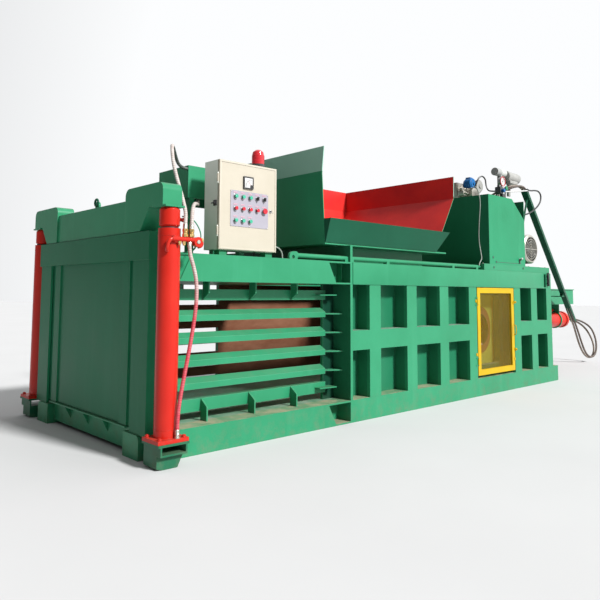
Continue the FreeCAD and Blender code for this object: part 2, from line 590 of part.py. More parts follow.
def ram():
    """The hollow pressing ram: face plate, roof, two sides with round-ended windows, cross rib."""
    box = Piece("ram_box")
    half = "(%s - dim.wall_inset - dim.ram_side_gap)" % HALF
    low = "dim.base_height + dim.ram_floor_gap"
    tall = "%s - dim.base_height - 2 * dim.ram_floor_gap" % ROOF_LOW
    width = ("-%s" % half, "2 * %s" % half)
    run = ("dim.ram_face_x", "dim.ram_length")
    box.box(("dim.ram_face_x", "dim.ram_face_thick"), width, (low, tall))
    box.box(run, width, ("%s - dim.ram_floor_gap - dim.ram_skin" % ROOF_LOW, "dim.ram_skin"))
    for y in ("-%s" % half, "%s - dim.ram_skin" % half):
        box.box(run, (y, "dim.ram_skin"), (low, tall))
    rib_x = "dim.ram_face_x + dim.ram_length - dim.ram_face_thick"
    box.box((rib_x, "dim.ram_skin"), width, (low, tall))
    box.rod("X", ("%s - dim.ram_skin" % rib_x, "0", "dim.axis_height"),
            "dim.main_flange", "3 * dim.ram_skin", hole=True)
    for i in range(int(size("ram_hole_count"))):
        x = "dim.ram_face_x + dim.ram_hole_first + %d * dim.ram_hole_pitch - dim.ram_hole_first / 2" % i
        box.rod("Y", (x, "-%s" % HALF, "dim.axis_height"), "dim.ram_hole_radius",
                "dim.body_width", hole=True)
    box.finish()
    rod = Piece("main_rod")
    reach = "(dim.main_end - dim.main_cap - dim.web - dim.ram_face_x - dim.ram_face_thick)"
    profile = [("0", "0"), ("dim.main_rod", "0"), ("dim.main_rod", "%s - dim.main_piston" % reach),
               ("dim.main_bore - dim.fit", "%s - dim.main_piston" % reach),
               ("dim.main_bore - dim.fit", reach), ("0", reach)]
    rod.turned(profile, ("dim.ram_face_x + dim.ram_face_thick", "0", "dim.axis_height"), axis="X")
    rod.finish()


# ---------------------------------------------------------------- hopper

def rectangle(piece, x0, x1, y0, y1, z):
    """A rectangular section of a loft, as a closed sketch at height z."""
    outline = doc.addObject("Sketcher::SketchObject", piece.fresh("section"))
    points = [(x0, y0), (x1, y0), (x1, y1), (x0, y1)]
    guess = [FreeCAD.Vector(*[outline.evalExpression(term) for term in point], 0)
             for point in points]
    for i in range(4):
        outline.addGeometry(Part.LineSegment(guess[i], guess[(i + 1) % 4]), False)
    for i in range(4):
        outline.addConstraint(Sketcher.Constraint("Coincident", i, 2, (i + 1) % 4, 1))
    for i, point in enumerate(points):
        for kind, value, term in (("DistanceX", guess[i].x, point[0]),
                                  ("DistanceY", guess[i].y, point[1])):
            index = outline.addConstraint(Sketcher.Constraint(kind, -1, 1, i, 1, value))
            outline.setExpression("Constraints[%d]" % index, term)
    place(outline, "0", "0", z)
    return outline


def ruled_loft(piece, sections, hole=False):
    loft = doc.addObject("Part::Loft", piece.fresh("loft"))
    loft.Sections = sections
    loft.Solid = True
    loft.Ruled = True
    return piece.keep(loft, hole)


def hopper():
    """Neck, flange and three folded walls.  The walls lean out to a fold and then stand upright."""
    bin_ = Piece("hopper")
    near = "(-(%s) + dim.hopper_near_inset)" % HALF
    base = DECK
    fold = "%s + dim.hopper_fold_height" % DECK
    top = "%s + dim.hopper_top_height" % DECK
    outside, inside = [], []
    for z, x0, x1, far in ((base, "dim.hopper_flange_x", "dim.hopper_base_end",
                            "(dim.feed_far + dim.hopper_sheet)"),
                           (fold, "dim.hopper_fold_x", "dim.hopper_fold_end",
                            "dim.hopper_fold_far"),
                           (top, "dim.hopper_top_x", "dim.hopper_top_end",
                            "dim.hopper_fold_far")):
        outside.append(rectangle(bin_, x0, x1, near, far, z))
        inside.append(rectangle(bin_, "%s + dim.hopper_sheet" % x0, "%s - dim.hopper_sheet" % x1,
                                "%s - dim.hopper_flange_lip" % near,
                                "%s - dim.hopper_sheet" % far, z))
    ruled_loft(bin_, outside)
    ruled_loft(bin_, inside, hole=True)
    walls = bin_.finish()
    nodes.pop()
    walls.Label = "hopper_walls_raw"
    whole = Piece("hopper")
    whole.keep(walls, False)
    flange_y = (near, "dim.feed_far + dim.hopper_flange_lip - %s" % near)
    flange_z = ("dim.side_height + dim.bulkhead_rise", "dim.hopper_flange")
    whole.box(("dim.hopper_flange_x", "dim.hopper_flange_length"), flange_y, flange_z)
    feed_y = "(-(%s) + dim.wall_inset)" % HALF
    neck_low = "%s + dim.roof_thick" % ROOF_LOW
    neck_z = (neck_low, "dim.side_height + dim.bulkhead_rise - (%s)" % neck_low)
    neck_x = "dim.bulkhead_x + dim.bulkhead_thick"
    whole.box((neck_x, "dim.feed_x + dim.feed_length + dim.neck_thick - (%s)" % neck_x),
              ("%s - dim.neck_thick" % feed_y, "dim.feed_far + 2 * dim.neck_thick - %s" % feed_y),
              neck_z)
    whole.box(("dim.feed_x", "dim.feed_length"), (feed_y, "dim.feed_far - %s" % feed_y),
              ("%s - dim.web" % neck_low, "dim.rail_depth + dim.bulkhead_rise + dim.hopper_flange"),
              hole=True)
    whole.finish()


def hopper_flap():
    """The low near lip, which leans out over the top rail."""
    flap = Piece("hopper_flap")
    near = "(-(%s) + dim.hopper_near_inset)" % HALF
    bottom = rectangle(flap, "dim.hopper_flange_x", "dim.hopper_base_end",
                       "%s - dim.hopper_sheet" % near, near, DECK)
    upper = rectangle(flap, "dim.hopper_flange_x", "dim.flap_top_end",
                      "%s - dim.hopper_sheet - dim.flap_lean" % near, "%s - dim.flap_lean" % near,
                      "%s + dim.flap_height" % DECK)
    ruled_loft(flap, [bottom, upper])
    flap.finish()


# ---------------------------------------------------------------- door end

def door_portal():
    """Two grooved guide columns joined by the header band."""
    portal = Piece("door_portal")
    top = "dim.header_low + dim.header_height"
    for side in SIDES:
        outer = wall_y(side, "dim.column_inset")
        inner = wall_y(side, "dim.column_inset + dim.column_width")
        groove = wall_y(side, "dim.column_inset + dim.column_width - dim.groove_depth")
        profile = [("dim.column_front", outer), ("dim.column_front", inner),
                   ("dim.groove_front", inner), ("dim.groove_front", groove),
                   ("dim.groove_front + dim.groove_width", groove),
                   ("dim.groove_front + dim.groove_width", inner), ("dim.base_start", inner),
                   ("dim.base_start", outer)]
        portal.plate("XY", profile, "dim.foot_height", "%s - dim.foot_height" % top)
    portal.box(("0", "dim.header_thick"),
               ("-(%s) + dim.header_inset" % HALF, "dim.body_width - 2 * dim.header_inset"),
               ("dim.header_low", "dim.header_height"))
    portal.finish()


def front_sill():
    """The beam under the door, with a foot block under each column."""
    sill = Piece("front_sill")
    inner = "dim.foot_inset + dim.foot_width"
    for side in SIDES:
        near_edge, far_edge = wall_y(side, "dim.foot_inset"), wall_y(side, inner)
        outline = [(near_edge, "0"), (far_edge, "0"), (far_edge, "dim.foot_height"),
                   (near_edge, "dim.foot_height")]
        sign = -1 if side == "near" else 1
        sill.plate("YZ", outline, "0", "dim.base_start",
                   corner=("dim.foot_corner",
                           lambda point, sign=sign: point.z > size("foot_height") / 2
                           and sign * point.y > size("body_width") / 2 - size("foot_inset") - 1))
    middle = ("-(%s) + %s" % (HALF, inner), "dim.body_width - 2 * (%s)" % inner)
    sill.box(("dim.sill_web_x", "dim.flange"), middle,
             ("dim.sill_low", "dim.base_height - dim.sill_low"))
    sill.box(("dim.column_front", "dim.base_start - dim.column_front"), middle,
             ("dim.base_height - dim.sill_flange", "dim.sill_flange"))
    wing = [("dim.column_front", "dim.base_height - dim.sill_flange"),
            ("dim.sill_web_x", "dim.base_height - dim.sill_flange"),
            ("dim.sill_web_x", "dim.base_height - dim.sill_flange - dim.sill_gusset")]
    count = int(size("sill_gusset_count"))
    for i in range(count):
        sill.plate("XZ", wing, "(%d - %d / 2) * dim.sill_gusset_pitch" % (i, count - 1),
                   "dim.flange")
    sill.finish()


def door_plate():
    """The lifting door: a thick plate whose edges run in the column grooves."""
    door = Piece("door_plate")
    edge = "(%s - dim.door_edge_inset)" % HALF
    door.box(("dim.door_front", "dim.door_thick"), ("-%s" % edge, "2 * %s" % edge),
             ("dim.door_low", "dim.beam_low - dim.door_low"))
    for side in SIDES:
        door.box(("dim.door_front - dim.door_strip_thick", "dim.door_strip_thick"),
                 layer(side, "dim.door_strip_inset", "dim.door_strip_inset + dim.door_strip_width"),
                 ("dim.door_low", "dim.beam_low - dim.door_low"))
    door.finish()


def crossbeam():
    """The lifting crossbeam: tapered ends, rounded horns over the cylinders, a lifting eye."""
    beam = Piece("crossbeam")
    outline = []
    for side in SIDES:
        half = [(wall_y(side, "dim.beam_taper_inset"), "dim.beam_low"),
                (wall_y(side, "dim.horn_notch_inset"), "dim.horn_low"),
                (wall_y(side, "-dim.horn_reach"), "dim.horn_low"),
                (wall_y(side, "-dim.horn_reach"), "dim.horn_top"),
                (wall_y(side, "dim.horn_inner_inset"), "dim.horn_top"),
                (wall_y(side, "dim.horn_inner_inset"), "dim.beam_top")]
        outline = half[::-1] + outline if side == "near" else outline + half
    near_half = outline[:6]
    far_half = outline[6:]
    ring = near_half + far_half
    top_z = size("horn_top")
    beam.plate("YZ", ring, "dim.header_thick", "dim.beam_thick",
               corner=("dim.horn_corner", lambda point: abs(point.z - top_z) < 1))
    for side in SIDES:
        inner = wall_y(side, "dim.horn_inner_inset")
        cheek = [(wall_y(side, "dim.beam_taper_inset"), "dim.beam_low"),
                 (wall_y(side, "dim.horn_notch_inset"), "dim.horn_low"),
                 (wall_y(side, "-dim.horn_reach"), "dim.horn_low"),
                 (wall_y(side, "-dim.horn_reach"), "dim.horn_top"),
                 (inner, "dim.horn_top"), (inner, "dim.beam_low")]
        beam.plate("YZ", cheek, "0", "dim.horn_plate",
                   corner=("dim.horn_corner", lambda point: abs(point.z - top_z) < 1))
        beam.box(("0", "dim.base_start"), layer(side, "-dim.horn_foot_outer", "dim.horn_foot_inner"),
                 ("dim.horn_low - dim.horn_plate", "dim.horn_plate"))
    eye_z = "dim.beam_top + dim.eye_rise"
    middle = "dim.header_thick + dim.beam_thick / 2 - dim.eye_thick / 2"
    beam.rod("X", (middle, "0", eye_z), "dim.eye_radius", "dim.eye_thick")
    beam.box((middle, "dim.eye_thick"), ("-dim.eye_radius", "2 * dim.eye_radius"),
             ("dim.beam_top", "dim.eye_rise"))
    beam.rod("X", ("%s - dim.web" % middle, "0", eye_z), "dim.eye_hole",
             "dim.eye_thick + 2 * dim.web", hole=True)
    beam.finish()


def lift_cylinder(side):
    """Foot bracket with its pocket, bolted barrel, and the rod that carries the crossbeam."""
    axis_y = wall_y(side, "-dim.lift_offset")
    reach = layer(side, "-dim.bracket_reach", "0")
    half = "dim.lift_flange_length / 2"

    bracket = Piece("cylinder_bracket_" + side)
    seat = "dim.lift_base - dim.bracket_seat"
    bracket.box(("dim.lift_x - %s" % half, "dim.lift_flange_length"), reach,
                (seat, "dim.bracket_seat"))
    left = "dim.lift_x - dim.pocket_length / 2"
    for x in (left, "%s + dim.pocket_length - dim.pocket_wall" % left):
        bracket.box((x, "dim.pocket_wall"), reach,
                    ("dim.pocket_low", "%s - dim.pocket_low" % seat))
    bracket.box((left, "dim.pocket_length"), reach, ("dim.pocket_low", "dim.pocket_wall"))
    skirt = [("dim.lift_x - dim.pocket_length / 2", "dim.pocket_low"),
             ("dim.lift_x - dim.pocket_length / 2", "dim.web"),
             ("dim.lift_x - dim.bracket_foot / 2", "0"),
             ("dim.lift_x + dim.bracket_foot / 2", "0"),
             ("dim.lift_x + dim.pocket_length / 2", "dim.pocket_low")]
    bracket.plate("XZ", skirt, *layer(side, "-dim.bracket_reach + dim.bracket_slant",
                                      "-dim.bracket_reach + dim.bracket_slant + dim.web"))
    bracket.plate("XZ", skirt, *layer(side, "-dim.web", "0"))
    bracket.box((left, "dim.web"), layer(side, "-dim.bracket_reach + dim.bracket_slant", "0"),
                ("dim.web", "dim.pocket_low - dim.web"))
    bracket.finish()

    barrel = Piece("lift_barrel_" + side)
    barrel.box(("dim.lift_x - %s" % half, "dim.lift_flange_length"),
               layer(side, "-dim.lift_flange_width - dim.fit", "-dim.fit"),
               ("dim.lift_base", "dim.lift_flange_thick"))
    length = "dim.lift_barrel_length"
    foot = "dim.lift_foot"
    profile = [("0", "0"), ("dim.lift_radius", "0"), ("dim.lift_radius", length),
               ("dim.lift_rod + dim.fit", length),
               ("dim.lift_rod + dim.fit", "%s - dim.lift_gland" % length),
               ("dim.lift_bore", "%s - dim.lift_gland" % length),
               ("dim.lift_bore", "dim.lift_cap"), ("0", "dim.lift_cap")]
    barrel.turned(profile, ("dim.lift_x", axis_y, foot))
    for x_sign in ("-", "+"):
        for y_inset in ("-dim.lift_flange_width - dim.fit + dim.lift_bolt_inset",
                        "-dim.lift_bolt_inset - dim.fit"):
            barrel.rod("Z", ("dim.lift_x %s (%s - dim.lift_bolt_inset)" % (x_sign, half),
                             wall_y(side, y_inset), foot),
                       "dim.lift_bolt_radius", "dim.lift_bolt_height")
    barrel.finish()

    rod = Piece("lift_rod_" + side)
    start = "(dim.lift_foot + dim.lift_cap + dim.web)"
    head = "(dim.lift_foot + dim.lift_barrel_length + dim.lift_head_gap - %s)" % start
    stop = "(dim.horn_low - dim.horn_plate - %s)" % start
    profile = [("0", "0"), ("dim.lift_bore - dim.fit", "0"),
               ("dim.lift_bore - dim.fit", "dim.lift_piston"), ("dim.lift_rod", "dim.lift_piston"),
               ("dim.lift_rod", head), ("dim.lift_head - dim.web", head),
               ("dim.lift_head", "%s + dim.web" % head),
               ("dim.lift_head", "%s - dim.lift_head_shoulder" % stop),
               ("dim.lift_head - dim.web", stop), ("0", stop)]
    rod.turned(profile, ("dim.lift_x", axis_y, start))
    rod.finish()


# ---------------------------------------------------------------- hose bridge, cabinet, beacon

def hose_bridge():
    """An open-bottomed box on four legs over the bale chamber, which carries the lift hoses."""
    bridge = Piece("hose_bridge")
    x, y = "dim.bridge_x", "-dim.bridge_near"
    bridge.box((x, "dim.bridge_length"), (y, "dim.bridge_width"),
               ("dim.bridge_low", "dim.bridge_height"))
    bridge.box(("%s + dim.bridge_sheet" % x, "dim.bridge_length - 2 * dim.bridge_sheet"),
               ("%s + dim.bridge_sheet" % y, "dim.bridge_width - 2 * dim.bridge_sheet"),
               ("dim.bridge_low - dim.web", "dim.bridge_height + dim.web - dim.bridge_sheet"),
               hole=True)
    shell = bridge.finish()
    nodes.pop()
    shell.Label = "hose_bridge_shell"
    whole = Piece("hose_bridge")
    whole.keep(shell, False)
    leg_low = "%s + dim.roof_thick" % ROOF_LOW
    for leg_x in ("%s + dim.rib_thick" % x,
                  "%s + dim.bridge_length - dim.bridge_leg + dim.rib_thick" % x):
        for leg_y in (y, "%s + dim.bridge_width - dim.bridge_leg" % y):
            whole.box((leg_x, "dim.bridge_leg - dim.rib_thick"), (leg_y, "dim.bridge_leg"),
                      (leg_low, "dim.bridge_low + dim.bridge_leg - (%s)" % leg_low))
    whole.finish()


CAB_FRONT = "(-(%s) + dim.cabinet_inset)" % HALF


HINGE = ("(dim.cabinet_x - dim.hinge_gap)", "(%s + dim.cabinet_door / 2)" % CAB_FRONT)
HINGE_LOWS = ("(dim.cabinet_low + dim.hinge_inset)",
              "(dim.cabinet_low + dim.cabinet_height - dim.hinge_inset - dim.hinge_height)")


def cabinet():
    """The control cabinet: a folded case on two feet, with a lip round its mouth."""
    case = Piece("cabinet_box")
    x = ("dim.cabinet_x", "dim.cabinet_width")
    y0 = "(%s + dim.cabinet_door + dim.cabinet_gap)" % CAB_FRONT
    depth = "(dim.cabinet_depth - dim.cabinet_door - dim.cabinet_gap)"
    z = ("dim.cabinet_low", "dim.cabinet_height")
    sheet_ = "dim.cabinet_sheet"
    case.box((x[0], x[1]), ("%s + %s - %s" % (y0, depth, sheet_), sheet_), z)
    for x0 in (x[0], "%s + %s - %s" % (x[0], x[1], sheet_)):
        case.box((x0, sheet_), (y0, depth), z)
    for z0 in (z[0], "%s + %s - %s" % (z[0], z[1], sheet_)):
        case.box(x, (y0, depth), (z0, sheet_))
    for x0 in (x[0], "%s + %s - dim.cabinet_lip" % x):
        case.box((x0, "dim.cabinet_lip"), (y0, sheet_), z)
    for z0 in (z[0], "%s + %s - dim.cabinet_lip" % z):
        case.box(x, (y0, sheet_), (z0, "dim.cabinet_lip"))
    for foot_x in ("dim.cabinet_x + dim.cabinet_lip",
                   "dim.cabinet_x + dim.cabinet_width - dim.cabinet_lip - dim.cabinet_foot"):
        case.box((foot_x, "dim.cabinet_foot"), (y0, "dim.wall_depth - dim.cabinet_inset - dim.cabinet_door"),
                 ("dim.side_height", "dim.cabinet_lift"))
    pin_x, pin_y = HINGE
    for low in HINGE_LOWS:
        case.rod("Z", (pin_x, pin_y, "%s - dim.hinge_pin * 3" % low), "dim.hinge_pin",
                 "dim.hinge_height + dim.hinge_pin * 6")
        for leaf_z in ("%s - dim.hinge_pin * 3" % low, "%s + dim.hinge_height + dim.fit" % low):
            case.box(("%s - dim.hinge_pin / 2" % pin_x, "dim.hinge_gap + dim.hinge_pin / 2"),
                     (pin_y, "dim.hinge_leaf"), (leaf_z, "dim.hinge_pin * 3 - dim.fit"))
    case.finish()

    lamp = Piece("beacon")
    profile = [("0", "0"), ("dim.beacon_radius", "0"), ("dim.beacon_radius", "dim.beacon_base"),
               ("dim.beacon_radius - dim.cabinet_sheet", "dim.beacon_base"),
               ("dim.beacon_radius - dim.cabinet_sheet", "dim.beacon_base + dim.beacon_height * 3 / 5"),
               ("dim.beacon_radius * 3 / 4", "dim.beacon_base + dim.beacon_height * 17 / 20"),
               ("dim.beacon_radius * 2 / 5", "dim.beacon_base + dim.beacon_height * 49 / 50"),
               ("0", "dim.beacon_base + dim.beacon_height")]
    lamp.turned(profile, ("dim.beacon_x", "-(%s) + dim.beacon_inset" % HALF,
                          "dim.cabinet_low + dim.cabinet_height"))
    lamp.finish()


def cabinet_door():
    """The cabinet's hinged front with the grey control panel, bezels, meter and lock."""
    door = Piece("cabinet_door")
    front = CAB_FRONT
    door.box(("dim.cabinet_x", "dim.cabinet_width"), (front, "dim.cabinet_door"),
             ("dim.cabinet_low", "dim.cabinet_height"))
    last_x = "dim.control_first_x + 4 * dim.control_pitch_x"
    low_z = "dim.control_top_z - 2 * dim.control_pitch_z"
    door.box(("dim.control_first_x - dim.panel_margin",
              "4 * dim.control_pitch_x + 2 * dim.panel_margin"),
             ("%s - dim.panel_thick" % front, "dim.panel_thick"),
             ("%s - dim.panel_margin" % low_z, "2 * dim.control_pitch_z + 2 * dim.panel_margin"))
    door.box(("dim.meter_x - dim.meter_size / 2", "dim.meter_size"),
             ("%s - dim.meter_height" % front, "dim.meter_height"),
             ("dim.meter_z - dim.meter_size / 2", "dim.meter_size"))
    for column, row in CONTROLS:
        at = control_at(column, row)
        door.rod("Y", (at[0], "%s - dim.panel_thick - dim.bezel_height" % front, at[1]),
                 "dim.bezel_radius", "dim.bezel_height")
        door.rod("Y", (at[0], "%s - dim.panel_thick - 2 * dim.bezel_height" % front, at[1]),
                 "dim.button_stem + dim.fit", "4 * dim.bezel_height", hole=True)
    door.rod("Y", ("dim.lock_x", "%s - dim.panel_thick" % front, "dim.lock_z"),
             "dim.lock_radius", "dim.panel_thick")
    for low in HINGE_LOWS:
        door.rod("Z", (*HINGE, low), "dim.hinge_radius", "dim.hinge_height")
        door.rod("Z", (*HINGE, "%s - dim.web" % low), "dim.hinge_pin + dim.fit",
                 "dim.hinge_height + 2 * dim.web", hole=True)
    door.finish()


def control_at(column, row):
    return ("(dim.control_first_x + %d * dim.control_pitch_x)" % column,
            "(dim.control_top_z - %d * dim.control_pitch_z)" % row)


BUTTONS = {"green_button_%d" % (i + 1): (i, 0) for i in range(3)}
BUTTONS.update({"red_button_%d" % (i + 1): (i, 1) for i in range(4)})
BUTTONS.update({"start_button_%d" % (i + 1): (i, 2) for i in range(3)})
SELECTORS = {"selector_left": (3, 0), "selector_right": (4, 0)}
STOP = {"stop_button": (4, 1)}
CONTROLS = list(BUTTONS.values()) + list(SELECTORS.values()) + list(STOP.values())


def controls():
    """Each control has a stem in its bezel's hole and a cap, knob or mushroom in front of it."""
    face = "%s - dim.panel_thick - dim.bezel_height" % CAB_FRONT
    stem_length = "(2 * dim.bezel_height)"
    for node, place_in_panel in {**BUTTONS, **SELECTORS, **STOP}.items():
        x, z = control_at(*place_in_panel)
        control = Piece(node)
        if node in BUTTONS:
            control.rod("Y", (x, "%s - dim.button_travel - dim.button_height" % face, z),
                        "dim.button_radius", "dim.button_height")
            gap = "dim.button_travel"
        elif node in STOP:
            gap = "(dim.stop_travel + dim.fit)"
            control.rod("Y", (x, "%s - %s - dim.button_height" % (face, gap), z),
                        "dim.stop_radius", "dim.button_height")
        else:
            gap = "dim.fit"
            control.rod("Y", (x, "%s - %s - dim.knob_height / 3" % (face, gap), z),
                        "dim.knob_radius", "dim.knob_height / 3")
            control.box(("%s - dim.knob_radius / 3" % x, "dim.knob_radius * 2 / 3"),
                        ("%s - %s - dim.knob_height" % (face, gap), "dim.knob_height"),
                        ("%s - dim.knob_radius" % z, "2 * dim.knob_radius"))
        control.rod("Y", (x, "%s - %s" % (face, gap), z), "dim.button_stem",
                    "%s + %s" % (gap, stem_length))
        control.finish()


def conduit():
    """The guide pipe along the near top edge, in its clamps, with an end lug and a tapered tip."""
    pipe = Piece("guide_pipe")
    y = "(-(%s) + dim.conduit_inset)" % HALF
    z = "(dim.side_height + dim.conduit_height)"
    straight = "(dim.conduit_end - dim.conduit_taper - dim.conduit_start)"
    pipe.turned([("0", "0"), ("dim.conduit_radius", "0"), ("dim.conduit_radius", straight),
                 ("dim.conduit_radius / 2", "%s + dim.conduit_taper" % straight),
                 ("0", "%s + dim.conduit_taper" % straight)], ("dim.conduit_start", y, z), axis="X")
    for x in ("dim.conduit_start - dim.clamp_width / 2",
              "dim.bulkhead_x - dim.clamp_width", "dim.bulkhead_x + dim.bulkhead_thick",
              "dim.post_first + dim.post_pitch / 2", "dim.post_first + 5 * dim.post_pitch / 2",
              "dim.conduit_end - dim.conduit_taper - dim.clamp_width"):
        pipe.box((x, "dim.clamp_width"), ("%s - dim.conduit_radius" % y, "2 * dim.conduit_radius"),
                 ("dim.side_height", "dim.conduit_height"))
    pipe.rod("Y", ("dim.conduit_start", "%s - dim.conduit_radius" % y, z), "dim.lug_radius",
             "2 * dim.conduit_radius")
    pipe.finish()


# ---------------------------------------------------------------- inspection door

def hatch():
    """The framed and meshed inspection door, hung on a pin at its door-end edge."""
    door = Piece("inspection_door")
    depth = layer("near", "0", "dim.hatch_thick")
    x = ("dim.hatch_x", "dim.hatch_width")
    z = ("dim.hatch_low", "dim.hatch_height")
    border = "dim.hatch_border"
    for x0 in (x[0], "%s + %s - %s" % (x[0], x[1], border)):
        door.box((x0, border), depth, z)
    for z0 in (z[0], "%s + %s - %s" % (z[0], z[1], border)):
        door.box(x, depth, (z0, border))
    door.box(x, layer("near", "dim.hatch_thick / 2", "dim.hatch_thick / 2 + dim.hatch_mesh"), z)
    for low in HATCH_LOWS:
        door.rod("Z", (*HATCH_AXIS, low), "dim.hatch_knuckle", "dim.hatch_knuckle_height")
        door.box((HATCH_AXIS[0], "dim.hatch_leaf_width"), (HATCH_AXIS[1], "dim.hatch_leaf"),
                 (low, "dim.hatch_knuckle_height"))
        door.rod("Z", (*HATCH_AXIS, "%s - dim.web" % low), "dim.hatch_pin + dim.fit",
                 "dim.hatch_knuckle_height + 2 * dim.web", hole=True)
        door.box(("dim.hatch_x + dim.hatch_width - dim.hatch_latch", "dim.hatch_latch"),
                 (HATCH_AXIS[1], "dim.hatch_leaf"), (low, "dim.hatch_latch"))
    door.finish()


# ---------------------------------------------------------------- power unit

def power_unit():
    """Oil tank on its skid, the open-topped guard round it, motor, pump, valves and filter."""
    near = "(-(%s))" % HALF
    tank = Piece("oil_tank")
    skid_z = ("dim.side_height", "dim.skid_height")
    run = ("dim.skid_x", "dim.skid_length")
    tank.box(run, (near, "dim.skid_width"), skid_z)
    tank.box(run, ("%s - dim.skid_width" % HALF, "dim.skid_width"), skid_z)
    cross = (near, "dim.body_width")
    for x in ("dim.skid_x", "dim.hood_x + dim.hood_length - dim.skid_width",
              "dim.motor_x - dim.motor_foot_width / 2", "dim.skid_x + dim.skid_length - dim.skid_width"):
        tank.box((x, "dim.skid_width"), cross, skid_z)
    sheet_gap = "(dim.hood_sheet + dim.tank_gap)"
    tank_x = ("dim.hood_x + %s" % sheet_gap, "dim.hood_length - 2 * %s" % sheet_gap)
    tank_y = ("%s + %s" % (near, sheet_gap), "dim.hood_depth - 2 * %s" % sheet_gap)
    tank.box(tank_x, tank_y, ("dim.deck_top", "dim.tank_height"))
    tank.box(("dim.hood_x + dim.hood_sheet + dim.fit", "dim.hood_length - 2 * (dim.hood_sheet + dim.fit)"),
             ("%s + dim.hood_sheet + dim.fit" % near, "dim.hood_depth - 2 * (dim.hood_sheet + dim.fit)"),
             ("dim.deck_top + dim.tank_height", "dim.lid_thick"))
    tank.finish()

    hood = Piece("unit_guard")
    rise = ("dim.deck_top", "dim.hood_height")
    hood_top = "dim.deck_top + dim.hood_height"
    hood.box(("dim.hood_x", "dim.hood_sheet"), (near, "dim.hood_depth"), rise)
    hood.box(("dim.hood_x + dim.hood_length - dim.hood_sheet", "dim.hood_sheet"),
             (near, "dim.hood_depth"), rise)
    hood.box(("dim.hood_x", "dim.hood_length"), ("%s + dim.hood_depth - dim.hood_sheet" % near,
                                                "dim.hood_sheet"), rise)
    right = "dim.hood_x + dim.hood_length"
    panel = [("dim.hood_x", "dim.deck_top"), (right, "dim.deck_top"),
             (right, "%s - dim.hood_cut_height" % hood_top),
             ("%s - dim.hood_cut_length" % right, hood_top), ("dim.hood_x", hood_top)]
    hood.plate("XZ", panel, near, "dim.hood_sheet")
    hood.finish()

    motor = Piece("pump_motor")
    x, z = "dim.motor_x", "dim.motor_z"
    start = "-dim.motor_near"
    motor.rod("Y", (x, start, z), "dim.motor_radius", "dim.motor_length")
    for i in range(int(size("motor_fins"))):
        turn = 360.0 * i / size("motor_fins")
        motor.blade((x, "%s + dim.skid_width" % start, z), turn,
                    "dim.motor_radius + dim.motor_fin", "dim.motor_length - 2 * dim.skid_width",
                    "dim.motor_fin_thick")
    motor.box(("%s - dim.motor_foot_width / 2" % x, "dim.motor_foot_width"),
              ("%s + dim.skid_width" % start, "dim.motor_length - 2 * dim.skid_width"),
              ("dim.deck_top", "dim.motor_foot_thick"))
    motor.box(("%s - dim.motor_radius * 3 / 4" % x, "dim.motor_radius * 3 / 2"),
              ("%s + dim.skid_width" % start, "dim.motor_length - 2 * dim.skid_width"),
              ("dim.deck_top", "%s - dim.deck_top" % z))
    motor.box(("%s - dim.skid_width" % x, "2 * dim.skid_width"),
              ("%s + dim.motor_length / 3" % start, "dim.motor_length / 3"),
              (z, "dim.motor_radius + dim.skid_width"))
    motor.rod("Y", (x, "%s - dim.fan_cover_length * 3 / 5" % start, z), "dim.fan_shaft",
              "dim.fan_cover_length * 3 / 5")
    motor.finish()

    cover = Piece("fan_cover")
    length = "dim.fan_cover_length"
    wide = "dim.fan_cover_radius"
    sheet_ = "dim.fan_cover_sheet"
    skirt = "%s + dim.motor_fin" % length
    face_y = "%s - %s" % (start, length)
    profile = [("%s - %s" % (wide, sheet_), skirt),
               ("%s - %s" % (wide, sheet_), "dim.motor_fin + %s" % sheet_),
               ("%s - dim.motor_fin - %s" % (wide, sheet_), sheet_),
               ("dim.fan_cover_mouth", sheet_), ("dim.fan_cover_mouth", "0"),
               ("%s - dim.motor_fin" % wide, "0"), (wide, "dim.motor_fin"), (wide, skirt)]
    cover.turned(profile, (x, face_y, z), axis="Y")
    for i in range(int(size("fan_cover_rings"))):
        inner = "(dim.fan_cover_mouth * (%d + 1) / (dim.fan_cover_rings + 1))" % i
        outer = "%s + dim.fan_cover_ring" % inner
        cover.turned([(inner, "0"), (outer, "0"), (outer, sheet_), (inner, sheet_)],
                     (x, face_y, z), axis="Y")
    for reach_x, reach_z in (("dim.fan_cover_mouth", "dim.fan_cover_ring / 2"),
                             ("dim.fan_cover_ring / 2", "dim.fan_cover_mouth")):
        cover.box(("%s - %s" % (x, reach_x), "2 * %s" % reach_x), (face_y, sheet_),
                  ("%s - %s" % (z, reach_z), "2 * %s" % reach_z))
    cover.turned([("dim.motor_radius + dim.fit", length), (wide, length), (wide, skirt),
                  ("dim.motor_radius + dim.fit", skirt)], (x, face_y, z), axis="Y")
    cover.finish()

    fan = Piece("motor_fan")
    blade_length = "dim.fan_cover_length * 2 / 5"
    fan_y = "%s - dim.fan_cover_length * 3 / 5" % start
    fan.rod("Y", (x, fan_y, z), "dim.fan_hub", blade_length)
    for i in range(int(size("fan_blades"))):
        fan.blade((x, fan_y, z), 360.0 * i / size("fan_blades"), "dim.fan_radius",
                  blade_length, "dim.hood_sheet")
    fan.rod("Y", (x, "%s - dim.web" % fan_y, z), "dim.fan_shaft + dim.fit",
            "dim.fan_cover_length", hole=True)
    fan.finish()

    pump = Piece("pump_set")
    back = "(-dim.motor_near + dim.motor_length)"
    pump.rod("Y", (x, back, z), "dim.bell_radius", "dim.bell_length")
    pump.rod("Y", (x, "%s + dim.bell_length" % back, z), "dim.pump_radius", "dim.pump_length")
    pump.rod("X", ("dim.hood_x + dim.hood_length", "%s + dim.bell_length + dim.pump_length / 2" % back, z),
             "dim.filter_post", "dim.motor_x - dim.hood_x - dim.hood_length")
    pump.finish()

